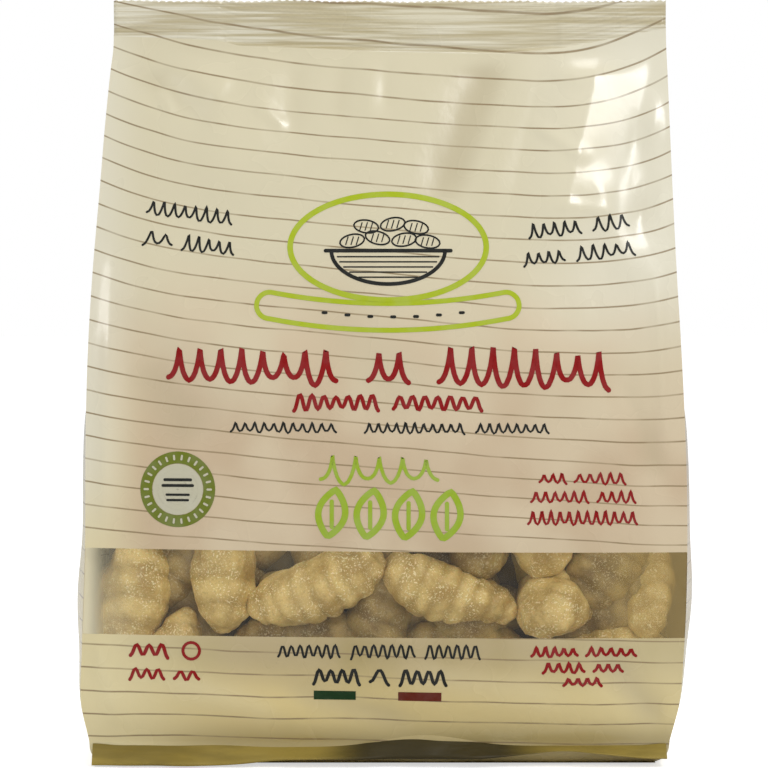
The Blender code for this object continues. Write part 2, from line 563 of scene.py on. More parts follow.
@dataclass(frozen=True)
class Ink:
    """An ink under the film's gloss."""

    name: str
    colour: tuple
    wear: float = 0.12

    def material(self) -> bpy.types.Material:
        """Builds the ink's material, a little uneven in strength."""
        book = NodeBook(self.name)
        book.set(roughness=0.26, coat_weight=0.05, coat_roughness=0.08, specular_ior_level=0.15)
        patch = book.steps(book.noise(240.0, 2.0), 0.3, 0.7, 0.0, self.wear)
        pale = tuple(v + (0.75 - v) * 0.5 for v in self.colour)
        book.link(book.blend(patch, self.colour, pale), book.shader.inputs["Base Color"])
        book.bump(film_relief(book), 0.45, 0.0014)
        return book.material


class Inks(Enum):
    """The inks of the print."""

    LIME = Ink("lime_ink", (0.44, 0.54, 0.020))
    RED = Ink("red_ink", (0.29, 0.004, 0.004), 0.06)
    LEAF = Ink("leaf_ink", (0.34, 0.48, 0.030))
    GREEN = Ink("green_ink", (0.008, 0.040, 0.008), 0.04)
    BRICK = Ink("brick_ink", (0.135, 0.016, 0.004), 0.06)
    OLIVE = Ink("olive_ink", (0.165, 0.200, 0.018))
    DARK = Ink("dark_ink", (0.016, 0.017, 0.014), 0.03)
    PALE = Ink("pale_ink", (0.60, 0.57, 0.42))

    @property
    def label(self) -> str:
        """The ink's name in pieces' names."""
        return self.name.lower()


# ---------------------------------------------------------------- the bag's form


@dataclass(frozen=True)
class Crease:
    """A soft ridge in the front film along a line, a valley where its rise is below zero."""

    start: tuple          # across and up, in metres
    end: tuple
    rise: float
    width: float
    sharp: float = 0.0    # share of a tent instead of a smooth hump

    def height(self, across: np.ndarray, up: np.ndarray) -> np.ndarray:
        """How far the crease lifts the film at the places given."""
        line = np.array(self.end) - np.array(self.start)
        length = float(np.hypot(*line))
        along = ((across - self.start[0]) * line[0] + (up - self.start[1]) * line[1]) / length
        aside = ((across - self.start[0]) * line[1] - (up - self.start[1]) * line[0]) / length
        reach = length * 0.25
        ends = ramp(along, -reach * 0.6, reach) * (1 - ramp(along, length - reach, length + reach * 0.6))
        smooth = np.exp(-((aside / self.width) ** 2))
        tent = np.maximum(1 - np.abs(aside) / (self.width * 1.6), 0.0)
        return self.rise * ends * (smooth * (1 - self.sharp) + tent * self.sharp)


FRONT_CREASES = (
    # soft folds that hang from the top seal
    Crease((-0.052, 0.194), (-0.036, 0.150), 0.9 * MM, 10 * MM),
    Crease((-0.033, 0.194), (-0.033, 0.160), 0.35 * MM, 4 * MM, 0.5),
    Crease((-0.023, 0.194), (-0.024, 0.164), -0.4 * MM, 4 * MM, 0.3),
    Crease((-0.010, 0.194), (-0.012, 0.168), -0.45 * MM, 4 * MM, 0.3),
    Crease((-0.004, 0.194), (-0.004, 0.166), 0.25 * MM, 3 * MM, 0.6),
    Crease((0.001, 0.194), (0.001, 0.172), -0.3 * MM, 3 * MM, 0.4),
    Crease((0.031, 0.192), (0.013, 0.146), -1.2 * MM, 8 * MM, 0.2),
    Crease((0.040, 0.190), (0.024, 0.142), 0.5 * MM, 5 * MM, 0.4),
    # the stiff facet at the upper right
    Crease((0.060, 0.198), (0.046, 0.138), 1.7 * MM, 9 * MM, 0.9),
    Crease((0.048, 0.196), (0.052, 0.180), 0.5 * MM, 4 * MM, 0.9),
    Crease((0.074, 0.176), (0.066, 0.146), 0.5 * MM, 3 * MM, 0.9),
    Crease((0.056, 0.156), (0.066, 0.128), 0.6 * MM, 4 * MM, 0.7),
    Crease((0.070, 0.170), (0.068, 0.140), -0.6 * MM, 3 * MM, 0.6),
    Crease((0.040, 0.170), (0.054, 0.160), 0.35 * MM, 1.8 * MM, 0.9),
    Crease((0.046, 0.148), (0.060, 0.146), 0.3 * MM, 1.8 * MM, 0.9),
    # small dents at the upper left
    Crease((-0.066, 0.183), (-0.052, 0.190), 0.5 * MM, 2.0 * MM, 0.9),
    Crease((-0.068, 0.188), (-0.046, 0.168), -0.8 * MM, 5 * MM, 0.4),
    Crease((-0.060, 0.179), (-0.057, 0.172), 0.4 * MM, 1.6 * MM, 0.9),
    Crease((-0.042, 0.182), (-0.046, 0.176), 0.3 * MM, 1.6 * MM, 0.9),
    Crease((-0.034, 0.176), (-0.026, 0.168), 0.3 * MM, 1.8 * MM, 0.9),
    # broad hollows and swellings lower down
    Crease((-0.070, 0.135), (-0.030, 0.098), 0.8 * MM, 11 * MM),
    Crease((-0.064, 0.108), (-0.048, 0.084), -0.9 * MM, 9 * MM),
    Crease((-0.020, 0.128), (0.010, 0.090), -0.6 * MM, 13 * MM),
    Crease((0.030, 0.120), (0.066, 0.086), 0.7 * MM, 11 * MM),
    Crease((0.062, 0.104), (0.074, 0.074), -0.9 * MM, 5 * MM, 0.4),
    Crease((0.072, 0.128), (0.074, 0.080), 0.5 * MM, 1.8 * MM, 0.8),
    Crease((-0.072, 0.120), (-0.074, 0.062), 0.5 * MM, 3.0 * MM, 0.5),
    Crease((-0.052, 0.066), (0.060, 0.062), 0.4 * MM, 6 * MM),
    Crease((-0.070, 0.0315), (-0.052, 0.0285), -0.4 * MM, 3 * MM, 0.3),
    Crease((-0.060, 0.024), (-0.024, 0.013), 0.9 * MM, 6 * MM, 0.2),
    Crease((0.002, 0.026), (0.052, 0.017), 0.8 * MM, 7 * MM, 0.2),
    Crease((-0.030, 0.022), (0.010, 0.011), -0.8 * MM, 5 * MM, 0.2),
    Crease((0.054, 0.034), (0.074, 0.010), -1.0 * MM, 5 * MM, 0.4),
    Crease((-0.076, 0.034), (-0.070, 0.012), 0.6 * MM, 3 * MM, 0.5),
    # the window film's puckers at its right end
    Crease((0.0725, 0.058), (0.0715, 0.046), 0.40 * MM, 1.2 * MM, 0.8),
    Crease((0.0700, 0.050), (0.0730, 0.040), 0.35 * MM, 1.1 * MM, 0.8),
    Crease((0.0735, 0.044), (0.0715, 0.035), 0.35 * MM, 1.1 * MM, 0.8),
    Crease((0.0655, 0.0565), (0.0660, 0.049), 0.25 * MM, 1.3 * MM, 0.8),
    Crease((-0.0715, 0.056), (-0.0725, 0.040), 0.30 * MM, 1.4 * MM, 0.7),
)

BACK_CREASES = (
    Crease((-0.044, 0.192), (-0.038, 0.148), 1.3 * MM, 7 * MM),
    Crease((-0.024, 0.192), (-0.020, 0.158), -1.0 * MM, 5 * MM),
    Crease((-0.006, 0.192), (-0.004, 0.164), 0.7 * MM, 5 * MM, 0.4),
    Crease((0.014, 0.192), (0.012, 0.156), -0.9 * MM, 5 * MM),
    Crease((0.044, 0.192), (0.050, 0.150), 1.5 * MM, 8 * MM, 0.5),
    Crease((-0.066, 0.130), (-0.030, 0.094), 0.9 * MM, 11 * MM),
    Crease((0.010, 0.120), (-0.030, 0.070), -0.8 * MM, 13 * MM),
    Crease((0.064, 0.122), (0.034, 0.080), 0.9 * MM, 11 * MM),
    Crease((-0.050, 0.056), (-0.014, 0.030), 0.8 * MM, 9 * MM),
    Crease((0.012, 0.052), (0.052, 0.030), 0.9 * MM, 9 * MM),
)


@dataclass(frozen=True)
class BagForm:
    """The shape of the filled bag, as level sections between named heights."""

    height: float = BAG_HIGH[2]
    seal_foot: float = 191 * MM
    bulge_power: float = 2.4
    crease_scale: float = 1.55
    heights: tuple = tuple(v * MM for v in (6, 16, 32, 58, 88, 108, 130, 152, 172, 185, 190.5, 197))
    widths: tuple = tuple(
        v * MM for v in (76.5, 78.5, 79.0, 79.0, 78.8, 78.3, 77.4, 76.4, 75.6, 75.0, 74.7, 74.7))
    depths: tuple = tuple(
        v * MM for v in (27.0, 30.0, 30.8, 30.0, 27.5, 24.5, 19.6, 13.8, 8.2, 4.1, 2.1, 0.6))
    bulges: tuple = tuple(v * MM for v in (1.0, 2.6, 4.2, 5.4, 6.2, 6.4, 5.6, 4.0, 2.0, 0.6, 0.0, 0.0))
    tucks: tuple = tuple(
        v * MM for v in (-1.5, -2.6, -3.0, -3.0, -1.8, 3.0, 12.0, 21.0, 26.5, 29.0, 29.5, 29.5))
    leans: tuple = tuple(v * MM for v in (-1.4, -1.2, -0.4, 0.4, 0.2, 0.0, 0.0, 0.4, 0.8, 1.2, 1.4, 1.4))

    def read(self, values: tuple, up: np.ndarray) -> np.ndarray:
        """Reads a size at the heights given, from a smooth curve through its stations.

        Args:
            values: the size at each of the named heights.
            up: the heights to read.

        Returns:
            The size at each height.
        """
        knots = np.array(self.heights)
        sizes = np.array(values)
        slopes = np.gradient(sizes, knots)
        up = np.clip(up, knots[0], knots[-1])
        index = np.clip(np.searchsorted(knots, up) - 1, 0, len(knots) - 2)
        span = knots[index + 1] - knots[index]
        share = (up - knots[index]) / span
        square, cube = share**2, share**3
        return (
            sizes[index] * (2 * cube - 3 * square + 1)
            + slopes[index] * span * (cube - 2 * square + share)
            + sizes[index + 1] * (3 * square - 2 * cube)
            + slopes[index + 1] * span * (cube - square)
        )

    def shift(self) -> float:
        """How far the section's middle is moved so that the bag's box is centred."""
        return (BAG_LOW[0] + BAG_HIGH[0]) / 2 - self.box_middle()

    def box_middle(self) -> float:
        """The middle of the bag's width before it is centred."""
        up = np.linspace(self.heights[0], self.heights[-1], 200)
        side = self.read(self.widths, up) - np.minimum(self.read(self.tucks, up), 0)
        lean = self.read(self.leans, up)
        return float((np.max(lean + side) + np.min(lean - side)) / 2)

    def middle(self, up: np.ndarray) -> np.ndarray:
        """Where the section's middle stands across, at the heights given."""
        return self.read(self.leans, up) + self.shift()

    def flat_depth(self, share: np.ndarray, up: np.ndarray) -> np.ndarray:
        """The depth of the front panel without its creases."""
        swell = 1 - np.abs(np.clip(share, -1, 1)) ** self.bulge_power
        return self.read(self.depths, up) + self.read(self.bulges, up) * swell

    def creases(self, across: np.ndarray, up: np.ndarray, creases: tuple) -> np.ndarray:
        """How far all the creases together lift the film."""
        total = np.zeros_like(across)
        for crease in creases:
            total += crease.height(across, up) * self.crease_scale
        share = (across - self.middle(up)) / self.read(self.widths, up)
        edges = 1 - ramp(np.abs(share), 0.93, 1.0)
        seal = 1 - ramp(up, self.seal_foot - 9 * MM, self.seal_foot)
        return total * edges * seal

    def front(self, across: np.ndarray, up: np.ndarray) -> np.ndarray:
        """The front film's place in depth, with its creases."""
        share = (across - self.middle(up)) / self.read(self.widths, up)
        return -(self.flat_depth(share, up) + self.creases(across, up, FRONT_CREASES))

    def back(self, across: np.ndarray, up: np.ndarray) -> np.ndarray:
        """The back film's place in depth, with its creases."""
        share = (across - self.middle(up)) / self.read(self.widths, up)
        return self.flat_depth(share, up) + self.creases(across, up, BACK_CREASES)

    def side(self, share: np.ndarray, up: np.ndarray) -> np.ndarray:
        """How far a side panel stands out from the section's middle, without its creases."""
        tuck = self.read(self.tucks, up)
        fold = np.where(tuck > 0, 1 - np.abs(share) ** 1.15, 1 - share**2)
        return self.read(self.widths, up) - tuck * fold

    def front_seal_foot(self, share: object) -> object:
        """The height of the front seal's foot at shares across."""
        knots = [-1.0, -0.62, -0.55, 0.0, 0.40, 0.62, 1.0]
        rises = np.array([2.8, 1.6, 0.2, -1.6, -2.2, -0.6, 5.0]) * MM
        return self.seal_foot + np.interp(share, knots, rises)

    def print_height(self, across: np.ndarray, up: np.ndarray) -> np.ndarray:
        """The height on the flat film that a place on the formed bag comes from.

        The print sags in the middle below the top seal, where the film is gathered at its ends, and it runs
        down a little to the right.

        Args:
            across: places across the bag.
            up: their heights.

        Returns:
            The heights on the flat film.
        """
        share = np.clip((across - self.middle(up)) / self.read(self.widths, up), -1.05, 1.05)
        knots = np.array([0, 10, 33, 60, 78, 110, 150, 175, 187, 193, 199, 204]) * MM
        sag = np.interp(up, knots, np.array([0, 0, 0, 0.3, 1.3, 4.6, 8, 9.6, 8.8, 7.8, 6.2, 5.0]) * MM)
        tilt = np.interp(up, knots, np.array([2, 3, 5.4, 11, 14.3, 13.8, 11, 9.4, 7.6, 6.2, 4.4, 3.0]) * MM)
        return up + tilt * (share + 1) / 2 + sag * (1 - share**4) * (1 + 0.2 * share)


# ---------------------------------------------------------------- film panels


@dataclass
class FilmPanels:
    """The bag's film: front above and below the window, the window, the back, the sides and the foot."""

    form: BagForm = field(default_factory=BagForm)
    window_low: float = 34.6 * MM
    window_high: float = 57.1 * MM
    window_tilt: float = 0.6 * MM
    columns: int = 190
    row_pitch: float = 0.85 * MM
    turn_radius: float = 4.6 * MM
    foot_rise: float = 5.2 * MM
    mist_gap: float = 0.15 * MM

    def sheet(self, name: str, columns: int, rows: int) -> bpy.types.Object:
        """Adds a flat grid with a bake map, from -1 to 1 each way."""
        clear_selection()
        bpy.ops.mesh.primitive_grid_add(x_subdivisions=columns, y_subdivisions=rows, size=2, calc_uvs=True)
        piece = bpy.context.object
        piece.name = name
        piece.data.name = name
        piece.data.uv_layers[0].name = BAKE_MAP
        return piece

    def lay_print(self, piece: bpy.types.Object) -> None:
        """Adds the map that the printed lines follow, in tenths of a metre on the flat film."""
        places = points_of(piece)
        heights = self.form.print_height(places[:, 0], places[:, 2])
        flat = np.stack([places[:, 0], heights], axis=1) * PRINT_SCALE
        corners = np.empty(len(piece.data.loops), dtype=int)
        piece.data.loops.foreach_get("vertex_index", corners)
        layer = piece.data.uv_layers.new(name=PRINT_MAP)
        layer.data.foreach_set("uv", flat[corners].ravel())

    def lay_folds(self, piece: bpy.types.Object, creases: tuple) -> None:
        """Stores how high each point stands on the film's creases, in millimetres, from which the film's
        material paints shade in the valleys and light on the crests.
        """
        places = points_of(piece)
        folds = self.form.creases(places[:, 0], places[:, 2], creases) / MM
        layer = piece.data.attributes.new(FOLD_MAP, "FLOAT", "POINT")
        layer.data.foreach_set("value", folds)

    def front_part(self, name: str, low: object, high: object) -> bpy.types.Object:
        """Forms a stretch of the front film between two edges.

        Args:
            name: the piece's name.
            low: a function that gives the lower edge's height at each share across.
            high: the same for the upper edge.

        Returns:
            The formed piece.
        """
        rows = max(int((high(0.0) - low(0.0)) / self.row_pitch), 4)
        piece = self.sheet(name, self.columns, rows)
        grid = points_of(piece)
        share, rise = grid[:, 0], (grid[:, 1] + 1) / 2
        up = low(share) * (1 - rise) + high(share) * rise
        across = self.form.middle(up) + self.form.read(self.form.widths, up) * share
        deep = self.form.front(across, up)
        move_points(piece, np.stack([across, deep, up], axis=1))
        self.lay_print(piece)
        self.lay_folds(piece, FRONT_CREASES)
        return piece

    def window_edge(self, height: float) -> object:
        """A function for one edge of the window, which runs down a little to the right."""
        return lambda share: height - self.window_tilt * share

    def foot_edge(self, share: object) -> object:
        """The height where the front film turns under, lifted between its corners."""
        corner = ramp(np.abs(share), 0.90, 1.0)
        line = 4.7 * MM + 3.4 * MM * hump(share, 0.16, 0.20) + 0.5 * MM * hump(share, -0.55, 0.12)
        return line * (1 - corner) + self.foot_rise * corner

    def seal_edge(self, share: object) -> object:
        """The height of the front seal's foot, which sags in the middle and climbs to its right end."""
        return self.form.front_seal_foot(share)

    def foot(self) -> bpy.types.Object:
        """The film that turns under along the foot, all round, down to the flat base."""
        steps = 14
        piece = self.sheet("bag_foot", 220, steps)
        grid = points_of(piece)
        turn = (grid[:, 0] + 1) / 2
        drop = (grid[:, 1] + 1) / 2
        across, deep, up = self.foot_outline(turn)
        angle = (1 - drop) * math.pi / 2
        inward = self.turn_radius * (1 - np.cos(angle))
        fall = up * (1 - np.sin(angle))
        middle = self.form.middle(np.zeros(1))[0]
        off_middle = np.minimum(1.0, np.abs(across - middle) / 0.070)
        drawn_in = across - np.sign(across - middle) * inward * off_middle
        across_out = np.where(np.abs(across - middle) > 1e-9, drawn_in, across)
        deep_out = deep - np.sign(deep) * inward * np.minimum(1.0, np.abs(deep) / 0.020)
        move_points(piece, np.stack([across_out, deep_out, np.maximum(fall, 0.3 * MM)], axis=1))
        self.lay_print(piece)
        take(piece)
        bpy.ops.object.mode_set(mode="EDIT")
        bpy.ops.mesh.select_all(action="SELECT")
        bpy.ops.mesh.remove_doubles(threshold=0.00005)
        bpy.ops.object.mode_set(mode="OBJECT")
        return piece

    def foot_outline(self, turn: np.ndarray) -> tuple:
        """The line round the bag where the upright film ends, from the front's left corner."""
        up_low = np.full_like(turn, self.form.heights[0])
        width = float(self.form.read(self.form.widths, np.array([self.form.heights[0]]))[0])
        depth = float(self.form.read(self.form.depths, np.array([self.form.heights[0]]))[0])
        ratio = width / (width + depth) / 2
        stops = np.array([0, ratio, 0.5, 0.5 + ratio, 1.0])
        leg = np.clip(np.searchsorted(stops, turn, side="right") - 1, 0, 3)
        local = (turn - stops[leg]) / (stops[leg + 1] - stops[leg]) * 2 - 1
        middle = self.form.middle(up_low)
        front_up = self.foot_edge(local)
        front_x = self.form.middle(front_up) + self.form.read(self.form.widths, front_up) * local
        back_x = middle - width * local
        across = np.select([leg == 0, leg == 1, leg == 2], [
            front_x, middle + self.form.side(local, up_low), back_x], middle - self.form.side(local, up_low))
        deep = np.select(
            [leg == 0, leg == 1, leg == 2],
            [self.form.front(front_x, front_up), depth * local, self.form.back(back_x, up_low)],
            -depth * local,
        )
        up = np.where(leg == 0, front_up, self.foot_rise)
        return across, deep, up

    def back_panel(self) -> bpy.types.Object:
        """Forms the back film."""
        rows = int((self.form.seal_foot - self.foot_rise) / (self.row_pitch * 1.5))
        piece = self.sheet("back_film", 120, rows)
        grid = points_of(piece)
        share, rise = -grid[:, 0], (grid[:, 1] + 1) / 2
        up = self.foot_rise * (1 - rise) + self.form.seal_foot * rise
        across = self.form.middle(up) + self.form.read(self.form.widths, up) * share
        move_points(piece, np.stack([across, self.form.back(across, up), up], axis=1))
        self.lay_print(piece)
        self.lay_folds(piece, BACK_CREASES)
        return piece

    def side_panel(self, face: Face) -> bpy.types.Object:
        """Forms one side film, tucked in towards the top.

        Args:
            face: the left or right side.

        Returns:
            The formed piece.
        """
        sign = 1 if face is Face.RIGHT else -1
        rows = int((self.form.seal_foot - self.foot_rise) / (self.row_pitch * 1.5))
        piece = self.sheet(f"side_film_{face.value}", 44, rows)
        grid = points_of(piece)
        share, rise = grid[:, 0] * sign, (grid[:, 1] + 1) / 2
        up = self.foot_rise * (1 - rise) + self.form.seal_foot * rise
        out = self.form.side(share, up) + self.side_creases(share * sign, up, sign)
        across = self.form.middle(up) + sign * out
        depth = self.form.read(self.form.depths, up)
        move_points(piece, np.stack([across, depth * share, up], axis=1))
        self.lay_print(piece)
        return piece

    def side_creases(self, share: np.ndarray, up: np.ndarray, sign: int) -> np.ndarray:
        """Soft dents in a side film, none at its creases.

        Args:
            share: places across the panel.
            up: their heights.
            sign: 1 for the right side and -1 for the left.

        Returns:
            How far the film stands out.
        """
        edges = 1 - np.abs(share) ** 4
        dents = (
            -1.1 * MM * hump(up, 0.070, 0.016) * hump(share, 0.25 * sign, 0.5)
            + 0.9 * MM * hump(up, 0.044, 0.012) * hump(share, -0.3 * sign, 0.5)
            - 0.9 * MM * hump(up, 0.020, 0.008) * hump(share, 0.1, 0.6)
            + 1.3 * MM * hump(up, 0.096, 0.012) * hump(share, -0.2 * sign, 0.35)
        )
        return dents * edges

    def build(self) -> list[bpy.types.Object]:
        """Builds and dresses every panel.

        Returns:
            The pieces, the front ones first.
        """
        film = PrintedFilm().material()
        clear = ClearFilm().material()
        low, high = self.window_edge(self.window_low), self.window_edge(self.window_high)
        pieces = [
            self.front_part("front_film_upper", high, self.seal_edge),
            self.front_part("front_film_lower", self.foot_edge, low),
            self.back_panel(),
            self.side_panel(Face.LEFT),
            self.side_panel(Face.RIGHT),
            self.foot(),
        ]
        for piece in pieces:
            finish_piece(piece, film)
        window = self.front_part("window_film", low, high)
        finish_piece(window, clear)
        mist = self.front_part("window_mist", low, high)
        places = points_of(mist)
        places[:, 1] += self.mist_gap
        move_points(mist, places)
        finish_piece(mist, FilmMist().material())
        for piece in (*pieces[:2], window, mist):
            piece.visible_shadow = False     # daylight passes the thin film on to the filling
            piece.visible_diffuse = False
        return [*pieces, window, mist]


@dataclass
class TopSeal:
    """The crimped band along the top, with its ragged cut edge and the side panels' folds pressed in it."""

    form: BagForm
    half_width: float = 74.7 * MM
    half_thickness: float = 0.55 * MM
    crimp_pitch: float = 1.35 * MM
    crimp_depth: float = 0.28 * MM
    fold_inset: float = 29.0 * MM
    columns: int = 220
    rows: int = 60

    def cut_edge(self, across: np.ndarray) -> np.ndarray:
        """The height of the cut edge, a fine uneven zigzag."""
        teeth = np.abs(((across / (2.1 * MM)) % 1.0) - 0.5) * 2
        wobble = np.sin(across * 310) * 0.25 + np.sin(across * 127 + 1.3) * 0.35
        return self.form.height - (0.25 + 0.55 * teeth + 0.35 * (wobble + 0.6) / 1.2) * MM

    def layer(self, name: str, sign: int) -> bpy.types.Object:
        """Forms the front or back layer of the seal.

        Args:
            name: the piece's name.
            sign: -1 for the front and 1 for the back.

        Returns:
            The formed piece.
        """
        panels = FilmPanels(self.form)
        piece = panels.sheet(name, self.columns, self.rows)
        grid = points_of(piece)
        share, rise = -sign * grid[:, 0], (grid[:, 1] + 1) / 2
        middle = self.form.middle(np.array([self.form.seal_foot]))[0]
        across = middle + self.half_width * share
        foot = self.form.seal_foot + 0.0 * share
        if sign < 0:
            foot = self.form.front_seal_foot(share)
        film = -self.form.front(across, foot) if sign < 0 else self.form.back(across, foot)
        foot = foot - 0.2 * MM
        up = foot * (1 - rise) + self.cut_edge(across) * rise
        waver = 0.45 * MM * np.sin(across * 60 + 0.8) + 0.3 * MM * np.sin(across * 143)
        fan = ramp(np.abs(share), 0.45, 1.0) * 0.9 * MM * rise
        ridge = 0.5 - 0.5 * np.cos(2 * math.pi * (up - foot + waver * 0.5 + fan) / self.crimp_pitch)
        strength = 0.35 + 0.65 * ramp(np.sin(across * 88 + up * 300), -0.8, 0.4)
        rim = ramp(rise, 0.0, 0.05) * (1 - ramp(rise, 0.985, 1.0)) * (1 - ramp(np.abs(share), 0.993, 1.0))
        step = 0.45 * MM * ramp(np.abs(share) * self.half_width, self.half_width - self.fold_inset - 0.4 * MM,
                                self.half_width - self.fold_inset + 0.2 * MM)
        swell = self.half_thickness - 0.30 * MM + step + self.crimp_depth * ridge * strength
        thick = 0.12 * MM + swell * rim
        foot_thick = (film - 0.05 * MM) * (1 - ramp(rise, 0.0, 0.14))
        sway = 0.7 * MM * np.sin(across * 38 + 0.5) * ramp(rise, 0.0, 1.0)
        deep = sign * np.maximum(thick, foot_thick) + sway
        move_points(piece, np.stack([across, deep, up], axis=1))
        panels.lay_print(piece)
        return piece

    def build(self) -> list[bpy.types.Object]:
        """Builds and dresses both layers."""
        film = PrintedFilm(name="seal_film", crimped=True, line_width=0.40 * MM, roughness=0.3).material()
        pieces = [self.layer("top_seal_front", -1), self.layer("top_seal_back", 1)]
        for piece in pieces:
            finish_piece(piece, film)
        return pieces


@dataclass
class BottomFin:
    """The bottom seal's fin, which lies folded along the foot of the front, with the film over the base."""

    form: BagForm
    half_width: float = 75.6 * MM
    reach: float = 31.6 * MM
    root: float = 24.0 * MM

    def lift(self, across: np.ndarray) -> np.ndarray:
        """How far the fin's edge curls up off the ground."""
        return 1.7 * MM * ramp(across, -0.046, -0.020) + 2.2 * MM * hump(across, 0.048, 0.015)

    def build(self) -> list[bpy.types.Object]:
        """Builds and dresses the fin and the flat base above it."""
        panels = FilmPanels(self.form)
        fin = panels.sheet("bottom_fin", 150, 16)
        grid = points_of(fin)
        middle = self.form.middle(np.zeros(1))[0]
        across = middle + self.half_width * grid[:, 0]
        turn = (grid[:, 1] + 1) / 2
        bottom = self.lift(across) + 0.15 * MM
        top = panels.foot_edge(grid[:, 0]) + 0.5 * MM
        crumple = 0.5 * MM * np.sin(across * 170 + turn * 3) + 0.3 * MM * np.sin(across * 410 + 1.0)
        # the outline runs from under the base, forward to the fin's edge, up it and back above
        forward = np.interp(turn, [0, 0.30, 0.42, 0.55, 1.0], [0, 0.94, 1.0, 0.90, 0.45])
        height = np.interp(turn, [0, 0.30, 0.42, 0.55, 1.0], [0, 0.03, 0.14, 0.30, 1.0])
        deep = -(self.root + (self.reach - self.root) * forward) + crumple * ramp(forward, 0.5, 1.0)
        up = bottom + (top - bottom) * height
        move_points(fin, np.stack([across, deep, up], axis=1))
        # the fin gets the film's darker copy: painted shade
        finish_piece(fin, ShadedFilm().material())
        base = panels.sheet("base_film", 24, 12)
        grid = points_of(base)
        across = middle - 73.0 * MM * grid[:, 0]
        up = 0.35 * MM - 0.3 * MM * (1 - grid[:, 0] ** 2) * (1 - grid[:, 1] ** 2)
        move_points(base, np.stack([across, 26.0 * MM * grid[:, 1], up], axis=1))
        panels.lay_print(base)
        finish_piece(base, PrintedFilm(name="base_film").material())
        return [fin, base]


# ---------------------------------------------------------------- the print


@dataclass
class Stroke:
    """A flat stroke of ink with round ends, drawn through points across and up the front, in metres."""

    points: np.ndarray
    width: float
    closed: bool = False
    square: bool = False
    step: float = 0.7 * MM

    def spread(self) -> np.ndarray:
        """The stroke's middle line, with its points an even step apart."""
        line = np.asarray(self.points, dtype=float)
        if self.closed:
            line = np.vstack([line, line[:1]])
        lengths = np.hypot(*np.diff(line, axis=0).T)
        walked = np.concatenate([[0], np.cumsum(lengths)])
        count = max(int(walked[-1] / self.step), 2)
        marks = np.linspace(0, walked[-1], count + 1)
        if self.closed:
            marks = marks[:-1]
        return np.stack([np.interp(marks, walked, line[:, 0]), np.interp(marks, walked, line[:, 1])], axis=1)

    def mesh(self, name: str, form: BagForm, lift: float) -> bpy.types.Object:
        """Lays the stroke on the front film.

        Args:
            name: the piece's name.
            form: the bag's form.
            lift: how far it stands off the film.

        Returns:
            The stroke's mesh.
        """
        line = self.spread()
        if self.closed:
            ahead, behind = np.roll(line, -1, axis=0), np.roll(line, 1, axis=0)
            half = np.full(len(line), self.width / 2)
        elif self.square:
            half = np.full(len(line), self.width / 2)
            ahead = np.vstack([line[1:], line[-1:]])
            behind = np.vstack([line[:1], line[:-1]])
        else:
            way = (line[1] - line[0]) / np.hypot(*(line[1] - line[0]))
            back = (line[-1] - line[-2]) / np.hypot(*(line[-1] - line[-2]))
            reach = self.width / 2
            caps = np.array([1.0, 0.88, 0.5])
            line = np.vstack([[line[0] - way * reach * c for c in caps], line,
                              [line[-1] + back * reach * c for c in caps[::-1]]])
            half = np.full(len(line), reach)
            half[:3] = half[-1:-4:-1] = reach * np.sqrt(1 - caps**2) + 0.01 * MM
            ahead = np.vstack([line[1:], line[-1:]])
            behind = np.vstack([line[:1], line[:-1]])
        along = ahead - behind
        along /= np.maximum(np.hypot(*along.T), 1e-9)[:, None]
        aside = np.stack([-along[:, 1], along[:, 0]], axis=1)
        ribs = max(int(self.width / (0.8 * MM)), 2)
        shares = np.linspace(-1, 1, ribs + 1)
        flat = np.concatenate([line + aside * (half * s)[:, None] for s in shares])
        deep = form.front(flat[:, 0], flat[:, 1]) - lift
        verts = np.stack([flat[:, 0], deep, flat[:, 1]], axis=1)
        count = len(line)
        last = count if self.closed else count - 1
        faces = [
            (
                r * count + i,
                r * count + (i + 1) % count,
                (r + 1) * count + (i + 1) % count,
                (r + 1) * count + i,
            )
            for r in range(ribs) for i in range(last)
        ]
        mesh = bpy.data.meshes.new(name)
        mesh.from_pydata(verts.tolist(), [], faces)
        piece = bpy.data.objects.new(name, mesh)
        bpy.context.scene.collection.objects.link(piece)
        if mesh.polygons[len(mesh.polygons) // 2].normal.y > 0:
            mesh.flip_normals()
        return piece


def oval(middle: tuple, across: float, up: float, turn: float = 0.0, count: int = 64) -> np.ndarray:
    """The points of an oval, which may be turned by an angle in degrees."""
    angle = np.linspace(0, 2 * math.pi, count, endpoint=False)
    c, s = math.cos(math.radians(turn)), math.sin(math.radians(turn))
    x, z = across * np.cos(angle), up * np.sin(angle)
    return np.stack([middle[0] + x * c - z * s, middle[1] + x * s + z * c], axis=1)


def leaf(middle: tuple, across: float, up: float, turn: float, count: int = 40) -> np.ndarray:
    """The outline of an upright pointed leaf, which may be turned by an angle in degrees."""
    share = np.linspace(0, 2, count, endpoint=False)
    side = np.where(share < 1, 1.0, -1.0)
    z = up * np.where(share < 1, 1 - 2 * share, 2 * share - 3)
    x = side * across * np.cos(z / up * math.pi / 2) ** 0.85
    c, s = math.cos(math.radians(turn)), math.sin(math.radians(turn))
    return np.stack([middle[0] + x * c - z * s, middle[1] + x * s + z * c], axis=1)


